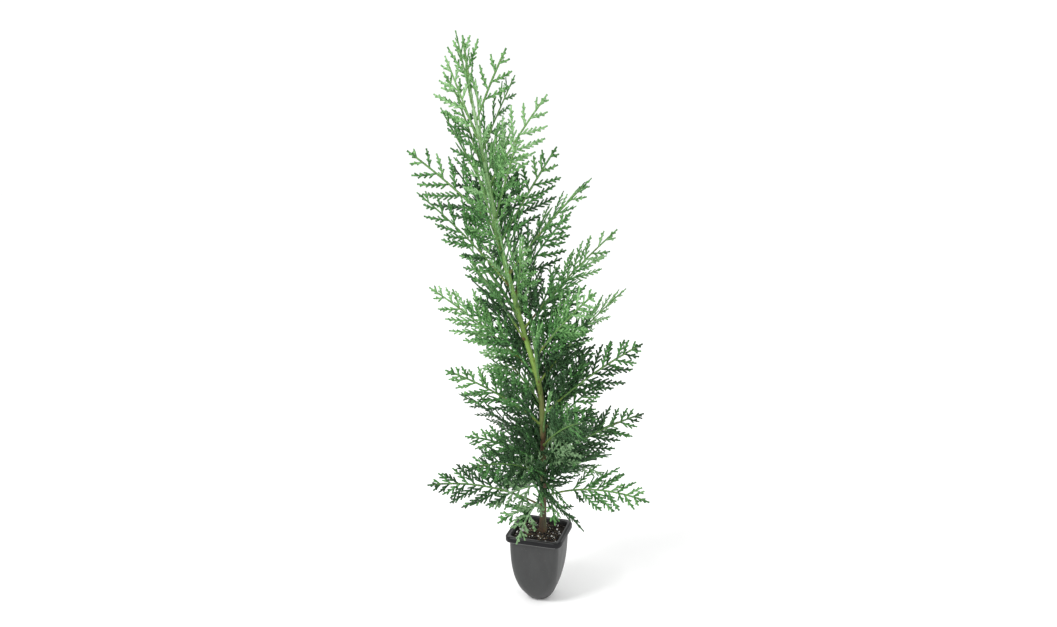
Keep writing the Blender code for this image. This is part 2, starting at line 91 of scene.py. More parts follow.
# %% The way every finish is wired
class Finish:
    """A node material, built up step by step."""

    def __init__(self, name):
        self.material = bpy.data.materials.new(name)
        self.material.use_nodes = True
        self.tree = self.material.node_tree
        self.shader = self.tree.nodes["Principled BSDF"]

    def put(self, socket, value):
        """Sets a socket to a value, or links an output to it."""
        if isinstance(value, bpy.types.NodeSocket):
            self.tree.links.new(value, socket)
        else:
            socket.default_value = (*value, 1) if socket.type == "RGBA" else value

    def node(self, kind, inputs, **settings):
        """A new node with its settings and its inputs."""
        made = self.tree.nodes.new("ShaderNode" + kind)
        for name, value in settings.items():
            setattr(made, name, value)
        for name, value in inputs.items():
            self.put(made.inputs[name], value)
        return made

    def coordinates(self, stretch=(1, 1, 1)):
        """Object coordinates, stretched along each axis."""
        place = self.node("TexCoord", {}).outputs["Object"]
        return self.node("Mapping", {"Scale": stretch, "Vector": place}).outputs["Vector"]

    def parts(self):
        """The three object coordinates, each by itself."""
        return self.node("SeparateXYZ", {"Vector": self.coordinates()}).outputs

    def noise(self, scale, detail=3.0, rough=0.55, stretch=(1, 1, 1)):
        """A noise pattern, whose scale is in features per metre."""
        inputs = {"Scale": scale, "Detail": detail, "Roughness": rough, "Vector": self.coordinates(stretch)}
        return self.node("TexNoise", inputs).outputs["Fac"]

    def ramp(self, factor, stops):
        """Colours for places between 0 and 1."""
        made = self.node("ValToRGB", {"Fac": factor})
        elements = made.color_ramp.elements
        while len(elements) < len(stops):
            elements.new(0.5)
        for element, (place, color) in zip(elements, stops):
            element.position = place
            element.color = (*color, 1)
        return made.outputs["Color"]

    def spread(self, factor, low_in, high_in, low, high):
        """Maps a range of a value to another range."""
        names = ("Value", "From Min", "From Max", "To Min", "To Max")
        inputs = dict(zip(names, (factor, low_in, high_in, low, high)))
        return self.node("MapRange", inputs).outputs["Result"]

    def blend(self, factor, first, second):
        """One colour over another, by a factor."""
        made = self.node("Mix", {"Factor": factor}, data_type="RGBA")
        for socket, value in zip([s for s in made.inputs if s.type == "RGBA"], (first, second)):
            self.put(socket, value)
        return next(s for s in made.outputs if s.type == "RGBA")

    def calculate(self, operation, *values):
        """One step of arithmetic on one or two values."""
        return self.node("Math", dict(enumerate(values)), operation=operation).outputs["Value"]

    def look(self, color, roughness, gloss=None):
        """The colour, the roughness and, where it isn't the usual one, the strength of the gloss."""
        self.put(self.shader.inputs["Base Color"], color)
        self.put(self.shader.inputs["Roughness"], roughness)
        if gloss is not None:
            self.put(self.shader.inputs["Specular IOR Level"], gloss)

    def bump(self, height, depth):
        """Bump from a height pattern, whose depth is in metres."""
        made = self.node("Bump", {"Strength": 1.0, "Distance": depth, "Height": height})
        self.put(self.shader.inputs["Normal"], made.outputs["Normal"])


print("The class for finishes is ready")

# %% [markdown]
# Floor and light.
# A studio table is a wide pale sheet under a bright, soft sky of cloth. A world of even white light gives
# that sky, and one large lamp from the upper left gives the plant a lit side and a soft shadow.

# %% Floor and light
FLOOR_HALF = 7.0
SKY_STRENGTH = 1.05
LAMP_AIM = Vector((0, 0, 0.24))  # the middle of the plant

bpy.ops.object.select_all(action="DESELECT")
bpy.ops.mesh.primitive_circle_add(vertices=96, radius=FLOOR_HALF, fill_type="NGON")
floor = bpy.context.object
floor.name = "floor"
pale_floor = Finish("pale_floor")
pale_floor.look((0.97, 0.97, 0.97), 0.85)
floor.data.materials.append(pale_floor.material)

world = bpy.data.worlds.new("studio_sky")
bpy.context.scene.world = world
world.use_nodes = True
sky = world.node_tree.nodes["Background"]
sky.inputs["Color"].default_value = (1, 1, 1, 1)
sky.inputs["Strength"].default_value = SKY_STRENGTH


def add_lamp(name, place, size, power):
    """A square soft lamp that looks at the middle of the plant."""
    turn = (LAMP_AIM - Vector(place)).to_track_quat("-Z", "Y").to_euler()
    bpy.ops.object.light_add(type="AREA", location=place, rotation=turn)
    lamp = bpy.context.object
    lamp.name = name
    lamp.data.shape = "SQUARE"
    lamp.data.size = size
    lamp.data.energy = power


add_lamp("key_lamp", (-1.3, -1.7, 2.4), 0.8, 52)
add_lamp("side_lamp", (2.2, -1.3, 1.3), 1.2, 7)
bpy.context.scene.view_settings.view_transform = "Standard"
print("Floor, sky and two lamps are set")

# %% [markdown]
# Helpers for modelling.
# Operators act on whatever is selected, so before each piece everything is deselected, and inside a piece the
# faces or edges that the next step works on are picked in code, by a test on their place.
# A finished piece is given its finish and tied to the plant's body, and the plain solids that it replaces are
# hidden.

# %% Helpers for modelling
NEAR = 0.01 * MM  # closer than this counts as the same height


def select_only(obj):
    bpy.ops.object.select_all(action="DESELECT")
    obj.select_set(True)
    bpy.context.view_layer.objects.active = obj


def start_from_square(name, half, z=0.0):
    """A level square, ready in edit mode with all of it selected."""
    bpy.ops.object.select_all(action="DESELECT")
    bpy.ops.mesh.primitive_plane_add(size=2 * half, location=(0, 0, z))
    obj = bpy.context.object
    obj.name = name
    bpy.ops.object.transform_apply(location=True)
    bpy.ops.object.mode_set(mode="EDIT")
    bpy.ops.mesh.select_all(action="SELECT")
    return obj


def pick(obj, kind, test):
    """In edit mode, selects only the edges or faces whose points all pass a test."""
    bpy.ops.mesh.select_mode(type="EDGE" if kind == "edges" else "FACE")
    bpy.ops.mesh.select_all(action="DESELECT")
    work = bmesh.from_edit_mesh(obj.data)
    for element in getattr(work, kind):
        if all(test(v.co) for v in element.verts):
            element.select = True
    work.select_flush_mode()
    bmesh.update_edit_mesh(obj.data)


def face_outwards():
    """Turns all faces of the mesh in edit mode outwards, and leaves edit mode."""
    bpy.ops.mesh.select_all(action="SELECT")
    bpy.ops.mesh.normals_make_consistent(inside=False)
    bpy.ops.object.mode_set(mode="OBJECT")


def pull(rise, factor, z):
    """Extrudes what is selected upwards, then widens it round the middle."""
    bpy.ops.mesh.extrude_region_move(TRANSFORM_OT_translate={"value": (0, 0, rise)})
    bpy.ops.transform.resize(value=(factor, factor, 1), center_override=(0, 0, z))


def finish_piece(obj, finish, replaced=()):
    """Gives a piece its finish and its body, and hides the solids that it stands for."""
    obj.data.materials.clear()
    obj.data.materials.append(finish.material)
    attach(obj, "root")
    if replaced:
        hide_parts(*replaced)
    obj.data.calc_loop_triangles()
    print(obj.name, "has", len(obj.data.loop_triangles), "triangles")


print("Helpers for modelling are ready")

# %% [markdown]
# The plug cell.
# The real cell is pulled from one thin black plastic sheet: a deep cup with rounded corners, a flat rim round
# its mouth, and a lip turned down at the rim's edge. By hand it can be made as the sheet is formed: a square
# foot is pulled up in steps, each a little wider, and a bevel rounds the four corners from top to bottom.
# Lower down the corners are made rounder, as the cup is square at its mouth and nearly round at its foot. The
# two lowest rings are drawn in a little, which rounds the foot. Then the top is opened and pulled out to a
# rim and down to a lip, and Solidify gives the sheet its thickness.
# The wall's curve is the construction's own rule, so the shell lies exactly on the plain solid.

# %% Shape the plug cell
CELL_PITCH = 50.4 * MM
CELL_HEIGHT = 64.0 * MM
MOUTH_HALF = 22.0 * MM
FOOT_HALF = 6.5 * MM
CELL_WALL = 0.8 * MM
RIM_DROP = 4.4 * MM
CORNER_ROUND = 6.2 * MM  # at the mouth
CORNER_GAIN = 0.6  # gained for each length that half the section is narrower
ROUNDEST = 0.92  # largest corner radius as a share of half the width
FOOT_ROUND = 1.4 * MM
WALL_STEPS = 24
STEP_GROWTH = 1.6  # above 1, the steps are finer near the foot
WALL_CURVE = (2.6, 0.55)
UNDER_RIM = CELL_HEIGHT - CELL_WALL


def wall_half(z):
    """Half the cell's outer width at a height under the rim."""
    first, second = WALL_CURVE
    rise = 1 - (1 - min(max(z / UNDER_RIM, 0), 1)) ** first
    return FOOT_HALF + (MOUTH_HALF - FOOT_HALF) * rise**second


def wall_corner(half):
    """Corner radius of the wall where half its width is this."""
    return min(CORNER_ROUND + CORNER_GAIN * (MOUTH_HALF - half), ROUNDEST * half)


def round_off(co, half, radius):
    """Moves a point of a rounded corner so that the corner gets this radius."""
    from_x, from_y = half - abs(co.x), half - abs(co.y)
    share = radius / (from_x + from_y + sqrt(max(2 * from_x * from_y, 0)))
    co.x = copysign(half - from_x * share, co.x)
    co.y = copysign(half - from_y * share, co.y)


cell = start_from_square("cell_shell", FOOT_HALF)
height = 0.0
for step in range(1, WALL_STEPS + 1):
    upper = UNDER_RIM * (step / WALL_STEPS) ** STEP_GROWTH
    pull(upper - height, wall_half(upper) / wall_half(height), upper)
    height = upper
bpy.ops.mesh.select_all(action="DESELECT")
for edge in bmesh.from_edit_mesh(cell.data).edges:
    edge.select = abs(edge.verts[0].co.z - edge.verts[1].co.z) > NEAR
bmesh.update_edit_mesh(cell.data)
bpy.ops.mesh.bevel(offset=CORNER_ROUND, segments=7, affect="EDGES", clamp_overlap=False)
for v in bmesh.from_edit_mesh(cell.data).verts:
    round_off(v.co, wall_half(v.co.z), wall_corner(wall_half(v.co.z)))
bmesh.update_edit_mesh(cell.data)
for ring in (0.0, UNDER_RIM / WALL_STEPS**STEP_GROWTH):
    pick(cell, "edges", lambda co: abs(co.z - ring) < 5 * NEAR)
    narrower = (FOOT_ROUND - ring) ** 2 / FOOT_ROUND / wall_half(ring)
    bpy.ops.transform.resize(value=(1 - narrower, 1 - narrower, 1), center_override=(0, 0, ring))
print("The cup has", len(bmesh.from_edit_mesh(cell.data).faces), "faces")

# %% Open its mouth, fold the rim and give the sheet a thickness
INNER_RIM = CELL_PITCH / 2 - CELL_WALL
FOLD = 0.3 * MM  # rounding of the folded edges

pick(cell, "faces", lambda co: co.z > UNDER_RIM - NEAR)
bpy.ops.mesh.delete(type="ONLY_FACE")
pick(cell, "edges", lambda co: co.z > UNDER_RIM - NEAR)
for reach, drop in (
    (MOUTH_HALF + 0.7 * MM, 0),
    (INNER_RIM - 0.7 * MM, 0),
    (INNER_RIM - 0.15 * MM, 0),
    (INNER_RIM, FOLD),
    (INNER_RIM, RIM_DROP - CELL_WALL - FOLD),
):
    now = max(v.co.x for v in bmesh.from_edit_mesh(cell.data).verts if v.select)
    pull(-drop, reach / now, UNDER_RIM)
face_outwards()
foot = min(cell.data.polygons, key=lambda p: p.center.z + abs(p.center.x) + abs(p.center.y))
if foot.normal.z > 0:
    cell.data.flip_normals()
wall = cell.modifiers.new("wall", "SOLIDIFY")
wall.thickness = CELL_WALL
wall.offset = -1
wall.use_even_offset = True
soften = cell.modifiers.new("soften", "BEVEL")
soften.width = FOLD
soften.segments = 2
soften.limit_method = "ANGLE"
soften.angle_limit = radians(50)
select_only(cell)
for modifier in ("wall", "soften"):
    bpy.ops.object.modifier_apply(modifier=modifier)
bpy.ops.object.shade_smooth_by_angle(angle=radians(40))
print("Cell box in mm:", [round(v / MM, 2) for v in cell.dimensions])

# %% [markdown]
# Finish of the cell.
# The plastic is black, but satin enough to look mid grey where the light falls on it. The walls have a faint
# cloudy bloom of dust and a slightly uneven gloss from the way the sheet was stretched. The rim is given a
# darker colour, a painted shade from the foliage above it, and less gloss. Its two folded edges get painted
# highlights, each a pale line.
# Which part is which is told by the height and by the distance from the middle, in object coordinates.

# %% Finish the plug cell
plastic = Finish("satin_black_plastic")
cloud = plastic.noise(95, 4, stretch=(1, 1, 0.4))
dust = plastic.ramp(cloud, ((0.35, (0.023, 0.024, 0.024)), (0.72, (0.036, 0.037, 0.037))))
specks = plastic.spread(plastic.noise(900, 2, 0.7), 0.66, 0.80, 0, 0.5)
dusty = plastic.blend(specks, dust, (0.15, 0.14, 0.13))
side_x, side_y, up = plastic.parts()
sides = [plastic.calculate("ABSOLUTE", side) for side in (side_x, side_y)]
far = plastic.calculate("MAXIMUM", *sides)
# Painted shade: the rim beyond the mouth gets a near-black colour for the shade that the foliage casts on it.
rim_range = (far, MOUTH_HALF + 0.1 * MM, MOUTH_HALF + 0.9 * MM)
dusty_with_rim_shade = plastic.blend(plastic.spread(*rim_range, 0, 1), dusty, (0.011, 0.011, 0.012))
# Painted highlights: a pale line along the lip's lower edge and a fainter one along the fold at the rim's
# top.
at_edge = plastic.spread(far, INNER_RIM - 0.2 * MM, INNER_RIM + 0.2 * MM, 0, 1)
lip_foot = CELL_HEIGHT - RIM_DROP
low = plastic.spread(up, lip_foot + 0.3 * MM, lip_foot + 0.6 * MM, 1, 0)
high = plastic.spread(up, CELL_HEIGHT - 0.4 * MM, CELL_HEIGHT - 0.1 * MM, 0, 0.6)
with_edge_highlights = plastic.blend(plastic.calculate("MULTIPLY", at_edge, low), dusty_with_rim_shade, (0.16, 0.16, 0.16))
with_edge_highlights = plastic.blend(plastic.calculate("MULTIPLY", at_edge, high), with_edge_highlights, (0.13, 0.13, 0.13))
plastic.look(with_edge_highlights, plastic.spread(cloud, 0.3, 0.7, 0.36, 0.52), plastic.spread(*rim_range, 0.45, 0.14))
plastic.bump(plastic.noise(260), 0.06 * MM)
finish_piece(cell, plastic, ["plug_cell"])

# %% [markdown]
# The potting mix.
# Peat settles a little below the rim and falls away towards the wall. Its body starts as a square with
# bevelled corners, is pulled down along the wall in steps, and its top face is pulled inwards ring by ring,
# so that the points of the rings can be pushed up and down like pressed peat. The loose crumbs come after it.

# %% Shape the body of the mix
MIX_TOP = 62.0 * MM
MIX_DIP = 1.6 * MM
MIX_INSET = 0.9 * MM  # kept from the outer face of the wall, through its thickness
MIX_RINGS = 9
MIX_EDGE_Z = MIX_TOP - MIX_DIP
MIX_SETTLED = 0.35 * MM  # how far even the middle lies under the top
# (lumps per metre, place of the slice through the noise, share of the depth)
LUMPS = ((160, 0, 0.9), (420, 0.3, 0.45))
LUMP_DEPTH = 0.9  # in mm


def mix_half(z):
    """Half the width of the mix at a height."""
    return wall_half(z) - MIX_INSET


MIX_EDGE = mix_half(MIX_EDGE_Z)


def mix_height(x, y):
    """Height of the mix's surface: a low dome with pressed lumps."""
    share = min(max(abs(x), abs(y)) / MIX_EDGE, 1)
    lumps = sum(noise.noise(Vector((x, y, slice_at)) * scale) * part for scale, slice_at, part in LUMPS)
    return MIX_TOP - MIX_SETTLED - MIX_DIP * share**2 + lumps * MM * LUMP_DEPTH


def on_top(co):
    return co.z > MIX_EDGE_Z - NEAR


mix = start_from_square("mix_body", MIX_EDGE, MIX_EDGE_Z)
bpy.ops.mesh.bevel(offset=CORNER_ROUND - MIX_INSET, segments=5, affect="VERTICES")
level = MIX_EDGE_Z
for lower in [z * MM for z in (48, 36, 24, 14, 6, 1.2)]:
    pull(lower - level, mix_half(lower - CELL_WALL) / mix_half(level - CELL_WALL), lower)
    level = lower
pick(mix, "faces", on_top)
for ring in range(MIX_RINGS, 0, -1):
    pull(0, ring / (ring + 1), MIX_EDGE_Z)
bpy.ops.mesh.poke()
pick(mix, "faces", on_top)
bpy.ops.mesh.subdivide(number_cuts=2)
face_outwards()
for v in mix.data.vertices:
    if on_top(v.co):
        v.co.z = mix_height(v.co.x, v.co.y)
    else:
        wall_here = wall_half(v.co.z - CELL_WALL)
        round_off(v.co, wall_here - MIX_INSET, wall_corner(wall_here) - MIX_INSET)
select_only(mix)
bpy.ops.object.shade_smooth_by_angle(angle=radians(50))
print("Mix box in mm:", [round(v / MM, 1) for v in mix.dimensions])

# %% [markdown]
# Finishes of the mix.
# Peat is nearly black when damp and dark brown where it has dried, and there are crumbs of both. The perlite
# grains are chalk white, the bark bits brown, and the fibres pale like straw.

# %% Finishes of the mix
GRAIN_DEPTH = 0.25 * MM


def earthy(name, dark, pale, scale, roughness=0.95):
    """A rough finish that wanders between two colours."""
    finish = Finish(name)
    finish.look(finish.ramp(finish.noise(scale, 5, 0.65), ((0.34, dark), (0.66, pale))), roughness)
    finish.bump(finish.noise(scale * 4), GRAIN_DEPTH)
    return finish


peat = earthy("damp_peat", (0.006, 0.005, 0.004), (0.020, 0.014, 0.010), 420)
peat_brown = earthy("dry_peat", (0.009, 0.007, 0.006), (0.026, 0.019, 0.014), 500)
perlite = earthy("perlite_white", (0.62, 0.61, 0.58), (0.90, 0.90, 0.87), 900, 0.9)
bark_brown = earthy("bark_bits_brown", (0.035, 0.017, 0.009), (0.12, 0.060, 0.030), 700, 0.85)
straw = earthy("pale_fibre", (0.24, 0.18, 0.10), (0.42, 0.34, 0.22), 600, 0.8)
finish_piece(mix, peat, ["potting_mix"])

# %% [markdown]
# Crumbs, grains and fibres.
# Thousands of small things are best made as one joined mesh from arrays. A crumb is a squashed ball of twenty
# faces, every copy with its own size, turn and dents. Copies are laid at random over the surface, each sunk
# about a third of its size, and the few large pale grains stand out among the dark ones as in the real mix.

# %% Lay the crumbs
GOLDEN = (1 + sqrt(5)) / 2
BALL = np.array(
    [(-1, GOLDEN, 0), (1, GOLDEN, 0), (-1, -GOLDEN, 0), (1, -GOLDEN, 0)]
    + [(0, -1, GOLDEN), (0, 1, GOLDEN), (0, -1, -GOLDEN), (0, 1, -GOLDEN)]
    + [(GOLDEN, 0, -1), (GOLDEN, 0, 1), (-GOLDEN, 0, -1), (-GOLDEN, 0, 1)]
) / hypot(1, GOLDEN)
BALL_FACES = np.array(
    [(0, 11, 5), (0, 5, 1), (0, 1, 7), (0, 7, 10), (0, 10, 11), (1, 5, 9), (5, 11, 4), (11, 10, 2)]
    + [(10, 7, 6), (7, 1, 8), (3, 9, 4), (3, 4, 2), (3, 2, 6), (3, 6, 8), (3, 8, 9), (4, 9, 5)]
    + [(2, 4, 11), (6, 2, 10), (8, 6, 7), (9, 8, 1)]
)
MOSTLY_SMALL = 2.2  # above 1, more of the grains are small
DENTS = 0.22
FROM_WALL = 0.4 * MM
FROM_CORNER = 0.86  # grains that would lie past a corner are moved in to this share


def mesh_from_arrays(name, points, faces):
    """An object from an array of points and an array of triangles or quads."""
    mesh = bpy.data.meshes.new(name)
    corners = faces.shape[1]
    mesh.vertices.add(len(points))
    mesh.vertices.foreach_set("co", points.astype(np.float32).ravel())
    mesh.loops.add(faces.size)
    mesh.loops.foreach_set("vertex_index", faces.astype(np.int32).ravel())
    mesh.polygons.add(len(faces))
    mesh.polygons.foreach_set("loop_start", np.arange(0, faces.size, corners, dtype=np.int32))
    mesh.update(calc_edges=True)
    mesh.validate()
    obj = bpy.data.objects.new(name, mesh)
    bpy.context.scene.collection.objects.link(obj)
    return obj


def random_turns(dice, count):
    """Random rotation matrices."""
    q = dice.normal(size=(count, 4))
    q /= np.linalg.norm(q, axis=1)[:, None]
    w, x, y, z = q.T
    rows = (
        (1 - 2 * (y * y + z * z), 2 * (x * y - z * w), 2 * (x * z + y * w)),
        (2 * (x * y + z * w), 1 - 2 * (x * x + z * z), 2 * (y * z - x * w)),
        (2 * (x * z - y * w), 2 * (y * z + x * w), 1 - 2 * (x * x + y * y)),
    )
    return np.moveaxis(np.array(rows), -1, 0)


def lay_grains(name, count, smallest, largest, shape, seed, finish, sink=0.35):
    """Many dented grains on the mix, their sizes between two radii."""
    dice = np.random.default_rng(seed)
    radius = smallest + (largest - smallest) * dice.random(count) ** MOSTLY_SMALL
    dents = 1 + DENTS * dice.uniform(-1, 1, (count, len(BALL), 1))
    stretch = np.array(shape) * dice.uniform(0.75, 1.25, (count, 1, 3))
    local = BALL[None] * dents * stretch * radius[:, None, None]
    turned = np.einsum("nij,nkj->nki", random_turns(dice, count), local)
    spots = dice.uniform(-1, 1, (count, 2)) * (MIX_EDGE - FROM_WALL)
    corner = np.maximum(np.abs(spots) - (MIX_EDGE - CORNER_ROUND), 0)
    spots *= np.where(np.hypot(*corner.T) > CORNER_ROUND - MM, FROM_CORNER, 1.0)[:, None]
    heights = np.array([mix_height(x, y) for x, y in spots])
    places = np.column_stack((spots, heights + radius * min(shape) * (1 - 2 * sink)))
    points = (turned + places[:, None]).reshape(-1, 3)
    faces = (BALL_FACES[None] + len(BALL) * np.arange(count)[:, None, None]).reshape(-1, 3)
    finish_piece(mesh_from_arrays(name, points, faces), finish)


lay_grains("peat_crumbs", 3000, 0.28 * MM, 1.15 * MM, (1, 1, 0.75), 11, peat)
lay_grains("dry_crumbs", 600, 0.25 * MM, 0.9 * MM, (1.1, 1, 0.7), 12, peat_brown)
lay_grains("perlite_grains", 190, 0.25 * MM, 1.0 * MM, (1, 1, 0.85), 13, perlite, 0.2)
lay_grains("bark_bits", 90, 0.5 * MM, 1.5 * MM, (1.7, 0.8, 0.35), 14, bark_brown, 0.1)

# %% Strew the fibres
FIBRES = 90
FIBRE_PARTS = 5
FIBRE_RADIUS = 0.13 * MM
FIBRE_LENGTH = (3, 9)  # in mm
FIBRE_CURL = 1.6
FIBRE_LIFT = (0.3, 0.8)  # in mm
FIBRE_ARCH = 0.3 * MM


def strew_fibres():
    """Thin bent threads, each a three-sided tube with pointed ends."""
    dice = np.random.default_rng(15)
    points = []
    faces = []
    for _ in range(FIBRES):
        length = dice.uniform(*FIBRE_LENGTH) * MM
        turn = dice.uniform(0, 2 * pi)
        curl = dice.uniform(-FIBRE_CURL, FIBRE_CURL)
        x, y = dice.uniform(-1, 1, 2) * (MIX_EDGE - 6 * MM)
        lift = dice.uniform(*FIBRE_LIFT) * MM
        first = len(points)
        last = first + 3 * FIBRE_PARTS
        for k in range(FIBRE_PARTS + 1):
            share = k / FIBRE_PARTS
            angle = turn + curl * share
            x += cos(angle) * length / FIBRE_PARTS
            y += sin(angle) * length / FIBRE_PARTS
            z = mix_height(x, y) + lift + FIBRE_ARCH * sin(share * pi)
            radius = FIBRE_RADIUS * sin(pi * (0.12 + 0.76 * share))
            for around in (0, 2 * pi / 3, 4 * pi / 3):
                aside = radius * cos(around)
                offset = (-sin(angle) * aside, cos(angle) * aside, radius * sin(around))
                points.append((x + offset[0], y + offset[1], z + offset[2]))
        for a in range(first, last):
            b = a + 1 if (a - first) % 3 < 2 else a - 2
            faces += [(a, b + 3, b), (a, a + 3, b + 3)]
        faces += [(first, first + 1, first + 2), (last, last + 2, last + 1)]
    return mesh_from_arrays("fibres", np.array(points), np.array(faces))


finish_piece(strew_fibres(), straw)

# %% [markdown]
# The plant's rule, part one: the stem.
# A plant is easier to grow by rule than to draw. The stem's middle line passes through a few measured places,
# joined by a smooth curve, and its girth is a short table of height and radius.
# These are the construction's own numbers, so that bark and leaves sit exactly where the plain solids are.

# %% The stem's course and girth
def from_mm(*rows):
    """Rows of millimetres, in metres."""
    return tuple(tuple(value * MM for value in row) for row in rows)


STEM_COURSE = from_mm(
    (3.0, 0.0, 62.3),
    (3.4, 1.0, 103.0),
    (2.0, 2.5, 154.0),
    (-1.0, 3.0, 192.0),
    (-17.0, 2.0, 248.0),
    (-33.0, 0.5, 309.0),
    (-45.0, -1.0, 368.0),
    (-57.0, -2.0, 430.0),
    (-58.6, -2.0, 441.0),
)
STEM_GIRTH = from_mm((62.3, 4.3), (68.5, 3.2), (92.0, 2.75), (196.0, 2.3), (368.0, 1.95), (441.0, 1.05))
STEM_FOOT = STEM_COURSE[0][2]
STEM_TIP = STEM_COURSE[-1][2]
GAP = 0.3 * MM


def between(pairs, at, column=1):
    """Straight-line value at a place in rows of (place, value, ...)."""
    if at <= pairs[0][0]:
        return pairs[0][column]
    for low, high in zip(pairs, pairs[1:]):
        if at <= high[0]:
            share = (at - low[0]) / (high[0] - low[0])
            return low[column] + share * (high[column] - low[column])
    return pairs[-1][column]


def stem_point(at_z):
    """Point of the stem's middle line at a height, on a smooth curve through the measured places."""
    last = len(STEM_COURSE) - 2
    for k in range(last + 1):
        if at_z <= STEM_COURSE[k + 1][2] or k == last:
            break
    p0, p1, p2, p3 = (Vector(STEM_COURSE[i]) for i in (max(k - 1, 0), k, k + 1, min(k + 2, last + 1)))
    t = (at_z - p1.z) / (p2.z - p1.z)
    slope1 = (p2 - p0) / (p2.z - p0.z) * (p2.z - p1.z)
    slope2 = (p3 - p1) / (p3.z - p1.z) * (p2.z - p1.z)
    a = 2 * t**3 - 3 * t**2 + 1
    b = t**3 - 2 * t**2 + t
    c = -2 * t**3 + 3 * t**2
    d = t**3 - t**2
    return p1 * a + slope1 * b + p2 * c + slope2 * d


def stem_direction(z):
    return (stem_point(z + MM) - stem_point(z - MM)).normalized()


def stem_radius(z):
    return between(STEM_GIRTH, z)


def outward(turn):
    """Level direction from the middle at an angle."""
    return Vector((cos(turn), sin(turn), 0))


def squared_to(along, direction):
    """A direction with its part along another taken out."""
    return (direction - along * direction.dot(along)).normalized()


print("The stem leans", round(STEM_COURSE[-1][0] / MM), "mm sideways over its height")

# %% [markdown]
# The plant's rule, part two: the sprays.
# Flat sprays stand round the stem in a spiral, each a golden angle further round than the one below, as buds
# do on many plants. They are longest a third of the way up. Low ones lean far out and arch down, and high
# ones rise steeply. Every number comes from a seeded die, so the plant is the same each time.
# Three sprays that stand clear of the rest take their places from the real plant.

# %% Where the sprays stand and how they run
SEED = 5
SPRAYS = 38
LOWEST_ROOT = 82 * MM
HIGHEST_ROOT = 434 * MM
GOLDEN_TURN = radians(137.508)
FIRST_TURN = radians(205)
LONGEST_SPRAY = 112 * MM
WIDEST_AT = 0.38
FALL_BELOW = 0.60
FALL_ABOVE = 0.72
CROWN_TOP = 482 * MM
# (height, lean and arch in degrees)
LEAN_OUT = ((0.0, 64, 52), (0.2, 60, 34), (0.34, 48, 14), (0.62, 38, 6), (0.82, 26, 0), (1.0, 18, 0))
# (ranges of turn in radians, share of the usual length, and lean, arch, roll and twist in degrees)
MAIN_HABIT = ((-0.16, 0.16), (0.86, 1.06), (-5, 5), (-5, 8), (-52, 52), (-22, 22))
# (root height, turn, length and lean)
CLEAR_SPRAYS = (
    (329 * MM, radians(180), 99 * MM, radians(46)),
    (407 * MM, radians(184), 54 * MM, radians(27)),
    (416 * MM, radians(-6), 60 * MM, radians(22)),
)
BOUGH_SHARE = 0.20
BOUGHS = 17
COURSE_STEPS = 24
TIP_RADIUS = 0.5 * MM
THINNEST_ROOT = 0.45 * MM
ROOT_GAIN = 0.0045


def usual_length(height):
    """How long sprays are at a share of the plant's height."""
    fall = FALL_ABOVE if height > WIDEST_AT else FALL_BELOW
    return LONGEST_SPRAY * (1 - ((height - WIDEST_AT) / fall) ** 2)


def spray_habit(rng, z, turn, habit):
    """Root height, turn, length, lean, arch, roll and twist of a spray, drawn from their ranges."""
    height = z / CROWN_TOP
    turn += rng.uniform(*habit[0])
    length = usual_length(height) * rng.uniform(*habit[1])
    usual = (between(LEAN_OUT, height), between(LEAN_OUT, height, 2), 0, 0)
    angles = [radians(angle + rng.uniform(*about)) for angle, about in zip(usual, habit[2:])]
    return [z, turn, length, *angles]


def spray_plan():
    """The habit of every main spray, lowest first."""
    plan = []
    for k in range(SPRAYS):
        z = LOWEST_ROOT + (HIGHEST_ROOT - LOWEST_ROOT) * (k + 0.5) / SPRAYS
        rng = random.Random(SEED * 1000 + k)
        plan.append(spray_habit(rng, z, FIRST_TURN + GOLDEN_TURN * k, MAIN_HABIT))
    for clear in CLEAR_SPRAYS:
        nearest = min(plan, key=lambda row: abs(row[0] - clear[0]))
        nearest[:4] = clear
        nearest[5] *= 0.2
        nearest[6] *= 0.4
    return plan


def spray_course(root, turn, length, lean, arch, roll, twist):
    """Stations along a spray's axis: point, direction, side direction and the direction it faces."""
    out = outward(turn)
    up = Vector((0, 0, 1))
    across = up.cross(out)
    point = root.copy()
    stations = []
    for k in range(COURSE_STEPS + 1):
        t = k / COURSE_STEPS
        angle = lean + arch * t
        along = out * sin(angle) + up * cos(angle)
        fall = out * cos(angle) - up * sin(angle)
        side = fall * cos(roll + twist * t) + across * sin(roll + twist * t)
        stations.append((point.copy(), along, side, along.cross(side)))
        point += along * (length / COURSE_STEPS)
    return stations


def station_at(spray, share):
    """Station at a share of the way along a spray."""
    place = min(max(share, 0), 1) * COURSE_STEPS
    k = min(int(place), COURSE_STEPS - 1)
    t = place - k
    return tuple(a.lerp(b, t) for a, b in zip(spray.stations[k], spray.stations[k + 1]))


print("The longest spray may be", round(LONGEST_SPRAY / MM), "mm long")

# %% [markdown]
# The plant's rule, part three: branchlets.
# Along each spray, branchlets leave alternately left and right at about forty degrees. They are long near
# the root and shorter towards the tip, which gives the spray its pointed outline.

# %% Lay out the whole crown
BRANCHLET_STEP = 7.5 * MM
FIRST_BRANCHLET = 9 * MM
LAST_BRANCHLET = 7 * MM
BRANCHLET_ANGLE = radians(40)
BRANCHLET_SHARE = 0.48
BRANCHLET_MORE = 6 * MM
LONGEST_BRANCHLET = 35 * MM
AT_ROOT = 0.72  # side shoots right at the root have this share of their length
AT_ROOT_GAIN = 1.4
LEADER_LENGTH = 41 * MM
LEADER_SHARE = 0.80
LEADER_ANGLE = radians(25)
LEADER_THICKNESS = 0.95  # share of the stem's radius at its tip


def alternate(rng, place, end, step):
    """Places about a step apart, each with the side on which something grows there."""
    sign = rng.choice((-1, 1))
    while place < end:
        yield place, sign
        place += step * rng.uniform(0.85, 1.15)
        sign = -sign


